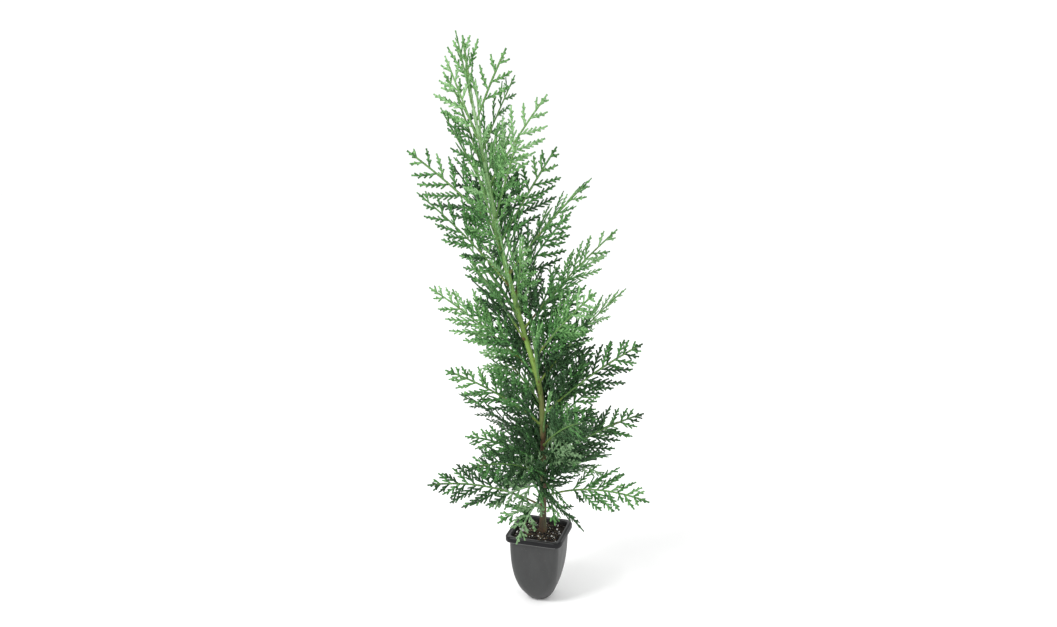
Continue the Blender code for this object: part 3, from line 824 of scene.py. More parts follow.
def branchlets(rng, length, start=0.0, share=BRANCHLET_SHARE, angle=BRANCHLET_ANGLE):
    """Where each branchlet leaves the axis, its side, length, angle and tilt out of the spray's plane."""
    rows = []
    first = start + FIRST_BRANCHLET * rng.uniform(0.8, 1.1)
    for place, sign in alternate(rng, first, length - LAST_BRANCHLET, BRANCHLET_STEP):
        reach = min(share * (length - place) + BRANCHLET_MORE, LONGEST_BRANCHLET)
        reach *= min(1, AT_ROOT + AT_ROOT_GAIN * (place - start) / length) * rng.uniform(0.86, 1.08)
        rows.append((place, sign, reach, angle * rng.uniform(0.88, 1.15), rng.uniform(-0.12, 0.30)))
    return rows


def new_spray(name, stations, length, seat, rows, **given):
    """What is known of a spray. Its root's radius follows from its length, unless it is given."""
    known = {"bough": 0.0, "radius": THINNEST_ROOT + ROOT_GAIN * length, "shade": None, **given}
    return SimpleNamespace(name=name, stations=stations, length=length, seat=seat, rows=rows, **known)


def leader():
    """The spray on top of the stem, which carries on in its direction."""
    along = stem_direction(STEM_TIP)
    side = squared_to(along, Vector((1, 0, 0)))
    root = stem_point(STEM_TIP) + along * GAP
    stations = [
        (root + along * (LEADER_LENGTH * k / COURSE_STEPS), along, side, along.cross(side))
        for k in range(COURSE_STEPS + 1)
    ]
    rng = random.Random(SEED * 7000)
    rows = branchlets(rng, LEADER_LENGTH, -FIRST_BRANCHLET, LEADER_SHARE, LEADER_ANGLE)
    rows = [row for row in rows if row[0] > 1 * MM]
    radius = stem_radius(STEM_TIP) * LEADER_THICKNESS
    return new_spray(SPRAY_NODES[-1], stations, LEADER_LENGTH, along, rows, radius=radius)


def crown_layout():
    """Every main spray, lowest first, and the leader last."""
    plan = spray_plan()
    with_bough = sorted(range(SPRAYS), key=lambda k: -plan[k][2])[:BOUGHS]
    crown = []
    for k, (z, turn, length, *angles) in enumerate(plan):
        seat = squared_to(stem_direction(z), outward(turn))
        root = stem_point(z) + seat * (stem_radius(z) + GAP)
        bough = BOUGH_SHARE if k in with_bough else 0.0
        rows = branchlets(random.Random(SEED * 5000 + k), length, bough * length)
        stations = spray_course(root, turn, length, *angles)
        crown.append(new_spray(SPRAY_NODES[k], stations, length, seat, rows, bough=bough))
    return crown + [leader()]


CROWN = crown_layout()
print(len(CROWN), "sprays with", sum(len(spray.rows) for spray in CROWN), "branchlets")

# %% [markdown]
# Bark of the stem.
# Low down the stem is woody, with thin reddish bark that flakes in narrow strips. Higher up it is still green
# and ribbed by the feet of old scale leaves. A curve with a round section and a radius at each point makes
# the limb, as one would draw it by hand, and it is turned into a mesh. Then every point is moved in or out
# by a small relief: strips low down, ribs higher up, and a collar where a spray leaves.

# %% Shape the stem
STEM_SIDES = 28
STEM_STEP = 0.9 * MM
WOODY_UP_TO = 216 * MM
WOODY_FADE = 120 * MM
COLLAR = 4  # how far a collar reaches, in radii of the spray that leaves there
UNDER_BARK = 0.97  # share of the stem's radius that the relief stands on
# Depths of the relief in mm
STRIP_DEPTH = 0.20
FLAKE_DEPTH = 0.12
RIB_DEPTH = 0.09
COLLAR_DEPTH = 0.55


def limb_from_curve(name, points, radii, sides):
    """A round tapering limb along points, as a mesh with closed ends."""
    curve = bpy.data.curves.new(name, "CURVE")
    curve.dimensions = "3D"
    curve.bevel_depth = 1.0
    curve.bevel_resolution = sides // 4 - 1
    curve.use_fill_caps = True
    curve.twist_mode = "MINIMUM"
    line = curve.splines.new("POLY")
    line.points.add(len(points) - 1)
    for knot, point, radius in zip(line.points, points, radii):
        knot.co = (*point, 1)
        knot.radius = radius
    obj = bpy.data.objects.new(name, curve)
    bpy.context.scene.collection.objects.link(obj)
    select_only(obj)
    bpy.ops.object.convert(target="MESH")
    bpy.ops.object.mode_set(mode="EDIT")
    bpy.ops.mesh.select_all(action="SELECT")
    bpy.ops.mesh.remove_doubles(threshold=0.1 * NEAR)
    face_outwards()
    return bpy.context.object


def bark_relief(z, around, nearness):
    """How far the bark stands out at a height and an angle round the stem, in metres."""
    woody = min(max((WOODY_UP_TO - z) / WOODY_FADE, 0), 1)
    strips = noise.noise(Vector((cos(around) * 3.1, sin(around) * 3.1, z * 55)))
    flakes = noise.noise(Vector((cos(around) * 7, sin(around) * 7, z * 260)))
    ribs = cos(4 * around + 2.2 * sin(z * 190)) * (0.6 + 0.4 * sin(z * 900))
    relief = woody * (STRIP_DEPTH * strips + FLAKE_DEPTH * flakes) + (1 - 0.6 * woody) * RIB_DEPTH * ribs
    return (relief + COLLAR_DEPTH * nearness) * MM


count = int((STEM_TIP - STEM_FOOT) / STEM_STEP)
heights = [STEM_FOOT + (STEM_TIP - STEM_FOOT) * k / count for k in range(count + 1)]
middles = [stem_point(z) for z in heights]
stem = limb_from_curve("stem_bark", middles, [stem_radius(z) * UNDER_BARK for z in heights], STEM_SIDES)
for v in stem.data.vertices:
    out = v.co - stem_point(v.co.z)
    out.z = 0
    nearness = 0.0
    for spray in CROWN:
        apart = (v.co - spray.stations[0][0]).length
        if apart < COLLAR * spray.radius:
            nearness = max(nearness, (1 - apart / (COLLAR * spray.radius)) ** 2)
    if out.length > 0.2 * MM:
        v.co += out.normalized() * bark_relief(v.co.z, atan2(out.y, out.x), nearness)
select_only(stem)
bpy.ops.object.shade_smooth()
print("Stem box in mm:", [round(v / MM, 1) for v in stem.dimensions])

# %% [markdown]
# Finish of the bark.
# The colour depends on height first: dull brown low down, olive and yellow-green in the middle, pale green at
# the top. Over that lie patches where thin red-brown bark has formed early. Both come from the height and
# from noise in the object's coordinates, stretched along the stem.

# %% Finish the stem
RED_BROWN = (0.110, 0.040, 0.019)
DULL_BROWN = (0.040, 0.026, 0.015)
OLIVE = (0.130, 0.160, 0.036)
YELLOW_GREEN = (0.200, 0.345, 0.050)
LEAF_GREEN = (0.165, 0.355, 0.090)
PALE_GREEN = (0.250, 0.410, 0.200)
GREEN_ZONES = (
    (0.10, DULL_BROWN),
    (0.22, OLIVE),
    (0.42, YELLOW_GREEN),
    (0.66, LEAF_GREEN),
    (0.9, PALE_GREEN),
)
# (height, share that is covered by brown patches)
BROWN_SHARE = ((0, 1), (0.22, 0.95), (0.27, 0.2), (0.34, 0.85), (0.40, 0.1), (0.7, 0))

bark = Finish("stem_bark_finish")
rise = bark.spread(bark.parts()["Z"], STEM_FOOT, STEM_TIP, 0, 1)
amount = bark.ramp(rise, [(at, (share,) * 3) for at, share in BROWN_SHARE])
strips = bark.noise(700, 3, 0.6, (1, 1, 0.12))
patches = bark.spread(bark.noise(120, stretch=(1, 1, 0.5)), 0.36, 0.56, 0, 1)
brown = bark.ramp(strips, ((0.30, DULL_BROWN), (0.62, RED_BROWN), (0.82, (0.22, 0.12, 0.065))))
skin = bark.blend(bark.spread(strips, 0.35, 0.75, 0, 0.3), bark.ramp(rise, GREEN_ZONES), (0.26, 0.38, 0.14))
color = bark.blend(bark.calculate("MULTIPLY", patches, amount), skin, brown)
bark.look(color, bark.spread(strips, 0.3, 0.7, 0.5, 0.8))
bark.bump(strips, 0.12 * MM)
finish_piece(stem, bark, ["stem"])

# %% [markdown]
# Boughs and spray stems.
# The longest sprays have a bare bough first. It carries on into the spray's own stem, which thins all the way
# to the tip. Both are drawn as the stem was, a curve with a radius at each point, and start inside the bark,
# so no seam shows. Boughs are olive with brown patches, and the thinner stems are green.

# %% Shape the boughs and spray stems
LIMB_SIDES = 8
BOUGH_PARTS = 14
AXIS_PARTS = 26
INSIDE = 1.0 * MM  # how deep a limb starts in the bark
FOOT_SWELL = 0.55  # how much thicker it is at its foot
SWELL_REACH = 1.6 * MM
BARE_END = 4 * MM  # the spray's tip, which has no stem of its own


def limb_radius(spray, share):
    return spray.radius + (TIP_RADIUS - spray.radius) * share


def limb_piece(spray, first, last, parts, start_inside):
    """A limb between two shares of a spray's course."""
    points = []
    radii = []
    for k in range(parts + 1):
        share = first + (last - first) * k / parts
        points.append(station_at(spray, share)[0])
        swell = 1 + 0.10 * sin(k * 1.9) + FOOT_SWELL * exp(-share * spray.length / SWELL_REACH)
        radii.append(limb_radius(spray, share) * swell)
    if start_inside:
        points.insert(0, points[0] - spray.seat * INSIDE)
        radii.insert(0, radii[0])
    return limb_from_curve(spray.name + "_limb", points, radii, LIMB_SIDES)


def join_limbs(limbs, name):
    """Joins limbs into one smooth piece."""
    bpy.ops.object.select_all(action="DESELECT")
    for limb in limbs:
        limb.select_set(True)
    bpy.context.view_layer.objects.active = limbs[0]
    bpy.ops.object.join()
    joined = bpy.context.object
    joined.name = name
    joined.data.name = name
    bpy.ops.object.shade_smooth()
    return joined


on_boughs = [s for s in CROWN if s.bough]
boughs = [limb_piece(s, 0, s.bough + 0.02, BOUGH_PARTS, True) for s in on_boughs]
boughs = join_limbs(boughs, "bough_bark")
axes = [limb_piece(s, s.bough, 1 - BARE_END / s.length, AXIS_PARTS, not s.bough) for s in CROWN]
axes = join_limbs(axes, "spray_stems")
print(len(on_boughs), "boughs,", len(axes.data.vertices), "points in the spray stems")


# %% Finish the boughs and spray stems
def limb_finish(name, dark, pale, brown, brown_share):
    """Green skin with brown patches, streaked along the limb."""
    finish = Finish(name)
    streaks = finish.noise(900)
    edge = 0.62 - brown_share * 0.4
    patches = finish.spread(finish.noise(90), edge, edge + 0.1, 0, 1)
    green = finish.ramp(streaks, ((0.35, dark), (0.65, pale)))
    finish.look(finish.blend(patches, green, brown), finish.spread(streaks, 0.3, 0.7, 0.5, 0.72))
    finish.bump(streaks, 0.08 * MM)
    return finish


bough_finish = limb_finish("bough_finish", OLIVE, YELLOW_GREEN, (0.13, 0.085, 0.030), 0.25)
axis_finish = limb_finish("spray_stem_finish", (0.080, 0.180, 0.045), (0.150, 0.300, 0.070), OLIVE, 0.1)
finish_piece(boughs, bough_finish, [s.name.replace("spray", "bough") for s in on_boughs])
finish_piece(axes, axis_finish, SPRAY_NODES)

# %% [markdown]
# Scale-leaf twigs.
# The leaves of a cypress are tiny scales that clasp the twig in pairs, one pair across the flat of the spray
# and the next above and below it. From a step away a twig looks like a flattened chain with a toothed edge.
# So a twig is one closed tube with four corners: for each pair of leaves it narrows to a neck and widens to
# a shoulder, whose side corners lean forward as free leaf tips. Sixteen triangles make one pair.
# Twigs are collected as arrays, each shade of green in a heap of its own.

# %% Chains of scale leaves
LATERAL = (1.14, 0.60)  # width and thickness of a side pair, for each half width of the twig
FACIAL = (1.00, 0.80)  # and of a pair above and below
NECK = (0.86, 0.58)
SHOULDER_AT = 0.78  # share of a pair's length where it is widest
TOOTH_LEAN = 0.30  # how far the free tips lean on past it
OTHER_LEAN = 0.25  # share of that lean for the corners in between
TWIG_TAPER = 0.16

heaps = {}


def add_to_heap(shade, rings, tip):
    """Keeps one closed tube of four-cornered rings with a pointed end."""
    number = len(rings)
    k = np.arange(number - 1)[:, None] * 4
    j = np.arange(4)[None]
    following = (j + 1) % 4
    quads = np.stack((k + j, k + following, k + 4 + following, k + 4 + j), -1).reshape(-1, 4)
    end = (number - 1) * 4
    last = number * 4
    ends = [(3, 2, 1, 0), (end, end + 1, end + 2, last), (end, last, end + 2, end + 3)]
    points = np.concatenate((rings.reshape(-1, 3), tip[None]))
    heaps.setdefault(shade, []).append((points, np.concatenate((quads, ends))))


def mesh_from_heap(name, tubes):
    """One object from many tubes."""
    points = np.concatenate([tube[0] for tube in tubes])
    firsts = np.cumsum([0] + [len(tube[0]) for tube in tubes])
    quads = np.concatenate([tube[1] + first for tube, first in zip(tubes, firsts)])
    return mesh_from_arrays(name, points, quads)


def scale_chain(shade, points, headings, acrosses, faces, half):
    """A twig through neck and shoulder stations. Each array has a row for every station and for the tip."""
    stations = len(points) - 1
    shoulder = np.arange(stations) % 2 == 1
    lateral = np.arange(stations) // 2 % 2 == 1
    sizes = zip(LATERAL, FACIAL, NECK)
    wide, thick = (np.where(shoulder, np.where(lateral, a, b), c) for a, b, c in sizes)
    size = half * (1 - TWIG_TAPER * (np.arange(stations) / stations))
    size[-1] *= 0.96
    step = np.linalg.norm(points[2] - points[0]) if stations > 2 else 1.5 * half
    lean = np.where(shoulder, TOOTH_LEAN * step, 0.0)
    side_lean = np.where(lateral, lean, OTHER_LEAN * lean)[:, None] * headings[:-1]
    face_lean = np.where(lateral, OTHER_LEAN * lean, lean)[:, None] * headings[:-1]
    side = acrosses[:-1] * (size * wide)[:, None]
    flat = faces[:-1] * (size * thick)[:, None]
    middle = points[:-1]
    corners = [middle + side + side_lean, middle + flat + face_lean]
    corners += [middle - side + side_lean, middle - flat + face_lean]
    add_to_heap(shade, np.stack(corners, 1), points[-1])


def pair_places(length, pitch):
    """Places of neck and shoulder of each pair along a twig, and of its tip."""
    pairs = max(2, round(length / pitch))
    step = length / pairs
    k = np.arange(pairs)
    places = np.empty(2 * pairs + 1)
    places[0:-1:2] = k * step
    places[1::2] = (k + SHOULDER_AT) * step
    places[-1] = length + 0.1 * step
    return places


class Arc:
    """A twig's middle line: part of a circle in the spray's plane."""

    def __init__(self, root, heading, across, length, bend):
        self.root = root
        self.heading = heading
        self.across = across
        self.face = np.cross(heading, across)
        self.length = length
        self.bend = bend if abs(bend) > 1e-4 else 1e-4

    def at(self, place):
        """Point, heading and across at one place or an array of places."""
        angle = self.bend * np.asarray(place, dtype=float) / self.length
        sine = np.sin(angle)[..., None]
        cosine = np.cos(angle)[..., None]
        radius = self.length / self.bend
        point = self.root + self.heading * (radius * sine) + self.across * (radius * (1 - cosine))
        heading = self.heading * cosine + self.across * sine
        across = self.across * cosine - self.heading * sine
        return point, heading, across

    def branch(self, place, sign, angle, length, bend, tilt=0.0):
        """An arc that leaves this one at a place, to one side, and curves back towards its heading."""
        point, heading, across = self.at(place)
        flat = heading * cos(angle) + across * (sign * sin(angle))
        aside = across * cos(angle) * sign - heading * sin(angle)
        new_heading = flat * cos(tilt) + self.face * sin(tilt)
        return Arc(point, new_heading, -aside, length, bend)


def grow(shade, arc, half, pitch):
    """A chain of scale leaves along an arc."""
    points, headings, acrosses = arc.at(pair_places(arc.length, pitch))
    scale_chain(shade, points, headings, acrosses, np.broadcast_to(arc.face, points.shape), half)


print("Chains of scale leaves are ready")

# %% [markdown]
# Shades of green.
# New growth is bright, older growth deep green, and a few low sprays show their pale, waxy undersides.
# A shade is dealt out to a whole spray by its height on the plant. The deeper shades low down are partly
# older growth and partly painted shade for the shade in the lower crown. Its outer branchlets may be one
# shade brighter and its inner ones one deeper, and twiglets near a branchlet's end brighter. This is partly
# younger and older growth and partly painted light and shade. Each shade has its own finish, with fine
# mottling that has no place.
# The gloss follows the mottling, so the dark flecks stay deep and only the pale ones catch the light.

# %% Shades and how they are dealt out
SHADES = {
    "deep": ((0.007, 0.031, 0.008), (0.036, 0.115, 0.031)),
    "mid": ((0.024, 0.090, 0.019), (0.098, 0.280, 0.072)),
    "bright": ((0.056, 0.165, 0.042), (0.180, 0.400, 0.125)),
    "fresh": ((0.125, 0.285, 0.096), (0.300, 0.520, 0.235)),
    "waxy": ((0.084, 0.172, 0.070), (0.250, 0.405, 0.205)),
}
STEPS = ("deep", "mid", "bright", "fresh")
# Deeper shades low on the plant: partly older growth, partly painted shade for the shade in the lower crown.
# (height, then weights of deep, mid, bright, fresh and waxy)
SHADE_WEIGHTS = (
    (0.0, (9, 2.5, 0.2, 0, 0.9)),
    (0.3, (5, 5, 1.2, 0.2, 0.3)),
    (0.42, (3.5, 5, 1.6, 0.3, 0)),
    (0.54, (1.2, 5, 3, 0.8, 0)),
    (0.7, (0, 1.5, 5, 4.5, 0)),
)


def deal_shade(rng, height):
    """A shade for a spray by the height of its root."""
    weights = [row[1] for row in SHADE_WEIGHTS if height >= row[0]][-1]
    return rng.choices(list(SHADES), weights)[0]


def shift_shade(shade, by):
    """One shade brighter or deeper."""
    if shade not in STEPS:
        return shade
    return STEPS[min(max(STEPS.index(shade) + by, 0), len(STEPS) - 1)]


def leaf_finish(name, dark, pale):
    """Mottled green with a soft, slightly waxy gloss."""
    finish = Finish(name)
    mottle = finish.noise(420, 3, 0.6)
    color = finish.ramp(mottle, ((0.40, dark), (0.62, pale)))
    roughness = finish.spread(mottle, 0.3, 0.7, 0.42, 0.62)
    gloss = finish.spread(mottle, 0.38, 0.62, 0.12, 0.50)
    finish.look(color, roughness, gloss)
    finish.bump(finish.noise(2600, 2), 0.05 * MM)
    return finish


finishes = {shade: leaf_finish(f"{shade}_green", *colors) for shade, colors in SHADES.items()}
print(len(finishes), "shades of green")

# %% [markdown]
# Growing the crown.
# The rule goes on where the construction stops. Each branchlet becomes a gently curved chain, and shorter
# ones stand between the construction's own, because the real sprays are that close. Short blunt twiglets
# leave a branchlet alternately and lie nearly side by side. Twigs that would run into the cell or the floor
# are left off, and so are those just before the stem, because the real one shows as a bright line from foot
# to top. High on the plant everything is shorter and more open, as on young shoots.

# %% Twigs of one spray
TWIG_HALF = 0.90 * MM
TWIG_PITCH = 1.9 * MM
TWIGLET_STEP = 2.35 * MM
TWIGLET_ANGLE = radians(36)
TWIGLET_SHARE = 0.20  # a twiglet's length for the length that is left of its branchlet
TWIGLET_MORE = 2.4 * MM  # and what it has besides
TWIGLET_MOST = 0.66  # largest share of the length that is left
LONGEST_TWIGLET = 7.0 * MM
FIRST_TWIGLET = 2.6 * MM
LAST_TWIGLET = 3.6 * MM  # distance of the last one from the tip
LAST_SHOOT = 6 * MM  # and of the last branchlet from the spray's tip
REACH_SHARE = 0.62  # a branchlet's largest length for the length that is left of its spray
LEADER_REACH_SHARE = 0.92
REACH_MORE = 1.5 * MM
ARC_OPENS = 1.16  # the angle at an arc's start and its bend, for the angle of the straight line
ARC_BENDS = 0.36
STEM_SHOWS = (146 * MM, 440 * MM)
STEM_CLEAR = 4.6 * MM
CELL_CLEAR = CELL_PITCH / 2 + 1 * MM
TUFT = (9.5, 7.2, 5.2)  # places of the last twiglets, in mm back from the tip
# Brighter outer and deeper inner branchlets, and brighter twiglet ends: partly younger and older growth,
# partly painted light and shade.
# (share of the spray from which on, or up to which, a branchlet may change its shade, and the chance)
BRIGHTER = (0.6, 0.5)
DEEPER = (0.4, 0.6)
DEEPER_BELOW = 0.7  # share of the plant's height
BRIGHT_END = (0.7, 0.35)  # the same for the twiglets of a branchlet
# (height, share of full twiglet length, chance of a branchlet in between)
FULLNESS = ((0.0, 1.0, 1.0), (0.4, 1.0, 0.8), (0.55, 0.95, 0.3), (0.68, 0.9, 0.1), (1.0, 0.8, 0.0))


def is_free(point):
    """Whether a point is clear of the cell and the floor."""
    over_cell = abs(point[0]) < CELL_CLEAR and abs(point[1]) < CELL_CLEAR
    return point[2] > (CELL_HEIGHT + 0.8 * MM if over_cell else 1 * MM)


def covers_stem(point):
    """Whether a point stands just before the stem, as seen from the eye."""
    if not STEM_SHOWS[0] < point[2] < STEM_SHOWS[1]:
        return False
    sight = Vector(point) - eye
    reach = (stem_point(point[2]) - eye).dot(away) / sight.dot(away)
    behind = eye + sight * reach
    apart = (behind - stem_point(min(max(behind.z, STEM_FOOT), STEM_TIP))).dot(Vector((-away.y, away.x, 0)))
    return reach > 1 and abs(apart) < STEM_CLEAR


def has_room(arc, reach):
    """Whether a branchlet is clear of the cell and the floor, and doesn't run just before the stem."""
    if not (is_free(arc.at(reach)[0]) and is_free(arc.at(reach / 2)[0])):
        return False
    return sum(covers_stem(arc.at(reach * share)[0]) for share in (0.25, 0.5, 0.75, 1)) <= 1


def grow_branchlet(rng, shade, arc, fullness):
    """A branchlet's chain and its twiglets."""
    grow(shade, arc, TWIG_HALF, TWIG_PITCH * 1.15)
    first = FIRST_TWIGLET * rng.uniform(0.8, 1.2)
    for place, sign in alternate(rng, first, arc.length - LAST_TWIGLET, TWIGLET_STEP):
        share = place / arc.length
        left = arc.length - place
        reach = min(TWIGLET_SHARE * left + TWIGLET_MORE, TWIGLET_MOST * left, LONGEST_TWIGLET)
        reach *= min(1, AT_ROOT + AT_ROOT_GAIN * share) * rng.uniform(0.72, 1.18) * fullness
        angle = TWIGLET_ANGLE * rng.uniform(0.80, 1.20)
        twiglet = arc.branch(place, sign, angle, reach, 0.30 * angle, rng.uniform(-0.22, 0.30))
        if is_free(twiglet.at(reach)[0]) and not covers_stem(twiglet.at(reach / 2)[0]):
            # Twiglets near a branchlet's end one shade brighter: partly younger growth, partly painted light.
            brighter = share > BRIGHT_END[0] and rng.random() < BRIGHT_END[1]
            grow(shift_shade(shade, int(brighter)), twiglet, TWIG_HALF * 0.95, TWIG_PITCH)


def array_station(spray, place):
    return [np.array(v) for v in station_at(spray, place / spray.length)]


def branchlet_arc(spray, place, sign, reach, angle, tilt):
    """The curved line of a branchlet, which ends where the construction's straight one does."""
    point, along, side, face = array_station(spray, place)
    wide = angle * ARC_OPENS
    heading = along * cos(wide) + side * (sign * sin(wide)) + face * tilt
    heading /= np.linalg.norm(heading)
    inward = along * sin(wide) - side * (sign * cos(wide))
    inward -= heading * inward.dot(heading)
    inward /= np.linalg.norm(inward)
    return Arc(point, heading, inward, reach, ARC_BENDS * angle)


def in_between_rows(rows, rng, chance):
    """Shorter branchlets on the other side of the axis from the construction's own."""
    extra = []
    for place, sign, reach, angle, tilt in rows:
        if rng.random() > chance:
            continue
        moved = place + rng.uniform(0.6, 2.4) * MM
        shorter = reach * rng.uniform(0.55, 0.92)
        extra.append((moved, -sign, shorter, angle * rng.uniform(0.9, 1.1), -tilt * 0.5))
    return extra


def grow_spray(seed, spray):
    """All the chains of one spray."""
    rng = random.Random(seed)
    height = spray.stations[0][0].z / CROWN_TOP
    fullness = between(FULLNESS, height)
    shade = spray.shade or deal_shade(rng, height)
    rows = spray.rows + in_between_rows(spray.rows, rng, between(FULLNESS, height, 2))
    widest = LEADER_REACH_SHARE if spray is CROWN[-1] else REACH_SHARE
    for place, sign, reach, angle, tilt in sorted(rows):
        if place > spray.length - LAST_SHOOT:
            continue
        reach = min(reach, widest * (spray.length - place) + REACH_MORE)
        arc = branchlet_arc(spray, place, sign, reach, angle, tilt)
        if has_room(arc, reach):
            share = place / spray.length
            # Outer branchlets one shade brighter and inner ones one deeper: partly younger and older growth,
            # partly painted light and shade.
            brighter = rng.random() < BRIGHTER[1] and share > BRIGHTER[0]
            deeper = rng.random() < DEEPER[1] and share < DEEPER[0] and height < DEEPER_BELOW
            grow_branchlet(rng, shift_shade(shade, brighter - deeper), arc, fullness)
    grow_axis(shade, spray, fullness)


def grow_axis(shade, spray, fullness):
    """Scale leaves over the spray's own stem, with a tuft of twiglets at its tip."""
    start = (spray.bough + 0.03) * spray.length
    places = start + pair_places(spray.length - start, 2.4 * MM)
    stations = [array_station(spray, min(place, spray.length)) for place in places]
    points, headings, acrosses, faces = (np.array(column) for column in zip(*stations))
    points[-1] += headings[-1] * 0.3 * MM
    half = max(limb_radius(spray, spray.bough) * 1.10, TWIG_HALF * 1.1)
    scale_chain(shade, points, headings, acrosses, faces, half)
    sign = 1
    for back in TUFT:
        point, along, side, _ = array_station(spray, spray.length - back * MM)
        arc = Arc(point, along, side, back * MM, 0.0)
        reach = min(0.20 * back + 2.0, 0.62 * back) * MM * fullness
        grow(shade, arc.branch(0.0, sign, TWIGLET_ANGLE, reach, 0.2), TWIG_HALF, TWIG_PITCH)
        sign = -sign


print("Twiglets stand", round(TWIGLET_STEP / MM, 1), "mm apart")

# %% [markdown]
# Sprays in between.
# The construction has a spray for each node that can be told apart. The real crown has many lesser ones
# between those. They follow the same rule on a second spiral, are shorter, and so stay inside the reach of
# the main ones. The real plant is open at the front, where its stem shows as a bright line, so none starts
# there except low down. Round the foot of the stem a few old sprays hang down over the rim, some of them
# turned so that their pale underside shows.

# %% Lay out the sprays in between
LESSER_SPRAYS = 80
LESSER_LOWEST = 102 * MM
LESSER_HIGHEST = 376 * MM
LESSER_CROWDING = 1.7  # how much closer together the low ones stand
LESSER_TURN = radians(66)
LESSER_HABIT = ((-0.3, 0.3), (0.42, 0.80), (-30, 0), (-5, 12), (-70, 70), (-30, 30))
OPEN_FRONT = atan2(away.y, away.x)
OPEN_HALF = radians(46)  # how far it is open each way
OPEN_FROM = 156 * MM
# (root height, turn, length, lean, arch and roll in degrees, shade)
HANGING_SPRAYS = (
    (105 * MM, 203, 50 * MM, 92, 44, 16, "waxy"),
    (95 * MM, 254, 50 * MM, 102, 46, 74, "waxy"),
    (113 * MM, 296, 56 * MM, 88, 52, 62, "mid"),
    (91 * MM, 330, 48 * MM, 86, 40, 24, "deep"),
    (87 * MM, 228, 44 * MM, 84, 30, 46, "mid"),
    (105 * MM, 148, 52 * MM, 84, 42, 18, "deep"),
    (97 * MM, 92, 48 * MM, 88, 40, 80, "mid"),
    (121 * MM, 30, 56 * MM, 82, 46, 22, "waxy"),
)
HANGING_TWIST = 0.1


def lesser_spray(rng, number, z, turn, length, lean, arch, roll, twist, shade=None):
    """One lesser spray. Where it would run into the cell it is made shorter and straighter."""
    out = outward(turn)
    root = stem_point(z) + out * stem_radius(z)
    for _ in range(6):
        stations = spray_course(root, turn, length, lean, arch, roll, twist)
        if all(is_free(station[0]) for station in stations):
            break
        length *= 0.9
        arch *= 0.6
    return new_spray(f"lesser_{number:02d}", stations, length, out, branchlets(rng, length), shade=shade)


def is_before_stem(z, turn):
    """Whether a spray would start at the plant's open front."""
    apart = (turn - OPEN_FRONT + pi) % (2 * pi) - pi
    return z > OPEN_FROM and abs(apart) < OPEN_HALF


def lesser_layout():
    """The lesser sprays of the second spiral, lowest first, and then the hanging ones."""
    layout = []
    for k in range(LESSER_SPRAYS):
        rng = random.Random(SEED * 3000 + k)
        share = ((k + 0.5) / LESSER_SPRAYS) ** LESSER_CROWDING
        z = LESSER_LOWEST + (LESSER_HIGHEST - LESSER_LOWEST) * share
        habit = spray_habit(rng, z, FIRST_TURN + LESSER_TURN + GOLDEN_TURN * k, LESSER_HABIT)
        if not is_before_stem(*habit[:2]):
            layout.append(lesser_spray(rng, k, *habit))
    for k, (z, turn, length, lean, arch, roll, shade) in enumerate(HANGING_SPRAYS, LESSER_SPRAYS):
        turn, lean, arch, roll = (radians(value) for value in (turn, lean, arch, roll))
        rng = random.Random(SEED * 3000 + k)
        layout.append(lesser_spray(rng, k, z, turn, length, lean, arch, roll, HANGING_TWIST, shade))
    return layout


LESSER = lesser_layout()
print(len(LESSER), "lesser sprays,", round(sum(spray.length for spray in LESSER), 2), "m long together")

# %% [markdown]
# Scales on the green stem.
# The young stem is still clasped by pairs of long scale leaves, each pair a quarter turn from the last.
# They hug the bark for a few millimetres, and then their sharp tips stand away from it like short hairs.
# A scale is one small flattened tube with a pointed end, in the same way as a twig.

# %% Grow the scales of the stem
SCALES_FROM = 250 * MM
SCALE_PITCH = 6.5 * MM
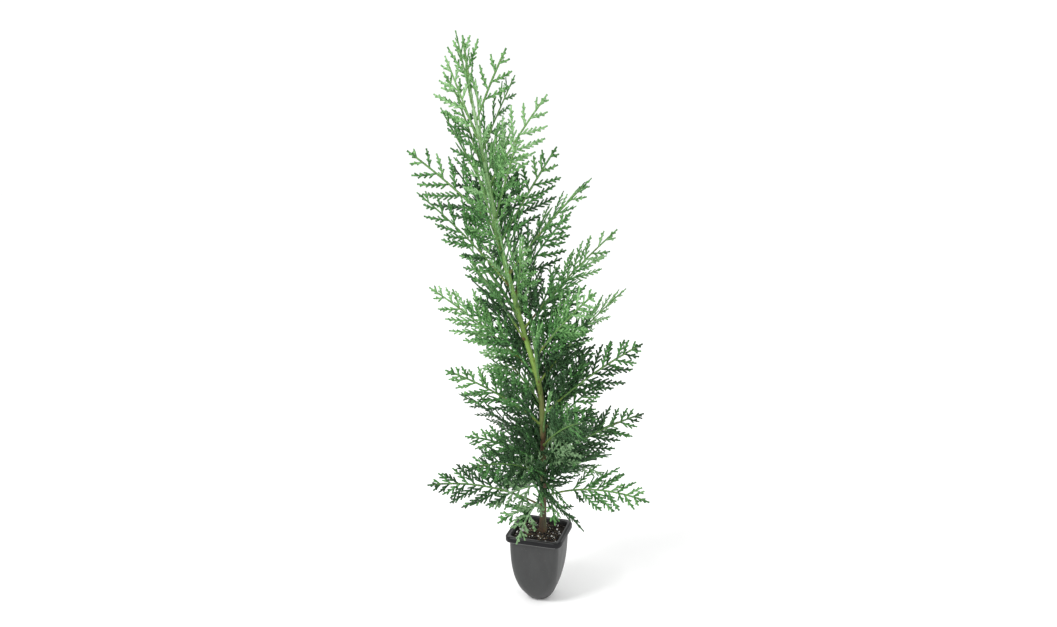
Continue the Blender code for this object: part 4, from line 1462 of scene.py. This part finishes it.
# (distance along the stem, distance off the bark, half width, half thickness)
SCALE_SHAPE = ((0.0, -0.1, 0.80, 0.20), (2.0, 0.05, 0.70, 0.26), (3.8, 0.75, 0.42, 0.26))
SCALE_POINT = (6.0, 2.5)


def stem_scale(z, angle, size):
    """One scale leaf on the stem, kept in the heap for stem scales."""
    along = stem_direction(z)
    out = squared_to(along, outward(angle))
    across = along.cross(out)
    foot = stem_point(z) + out * stem_radius(z)
    rings = []
    for forth, off, wide, thick in SCALE_SHAPE:
        middle = foot + (along * forth + out * off) * size * MM
        side = across * wide * size * MM
        lift = out * thick * size * MM
        rings.append([middle + side, middle + lift, middle - side, middle - lift])
    tip = foot + (along * SCALE_POINT[0] + out * SCALE_POINT[1]) * size * MM
    add_to_heap("stem_scales", np.array(rings), np.array(tip))


dice = random.Random(SEED * 800)
for number in range(int((STEM_TIP - SCALES_FROM) / SCALE_PITCH)):
    z = SCALES_FROM + number * SCALE_PITCH
    for half_turn in (0, pi):
        angle = number * pi / 2 + half_turn + dice.uniform(-0.25, 0.25)
        stem_scale(z + dice.uniform(-0.8, 0.8) * MM, angle, dice.uniform(0.75, 1.1))
scales = mesh_from_heap("stem_scales", heaps.pop("stem_scales"))
finish_piece(scales, leaf_finish("pale_scale_green", LEAF_GREEN, PALE_GREEN), ["stem"])

# %% Grow the crown
for first_seed, sprays in ((SEED * 9000, CROWN), (SEED * 9500, LESSER)):
    for index, spray in enumerate(sprays):
        grow_spray(first_seed + index, spray)
for shade, tubes in heaps.items():
    print(shade, sum(len(quads) for _, quads in tubes) * 2, "triangles")

# %% [markdown]
# Joining the twigs.
# One object for each twig would be far too many, so every shade becomes a few joined meshes. Each is kept
# under 200,000 triangles, which keeps it quick to draw and to print.

# %% Join the twigs
MOST_TRIANGLES = 195_000

for shade, tubes in heaps.items():
    pieces = [[]]
    count = 0
    for tube in tubes:
        count += 2 * len(tube[1])
        if count > MOST_TRIANGLES:
            pieces.append([])
            count = 2 * len(tube[1])
        pieces[-1].append(tube)
    for number, piece in enumerate(pieces, 1):
        foliage = mesh_from_heap(f"foliage_{shade}_{number}", piece)
        finish_piece(foliage, finishes[shade], SPRAY_NODES)
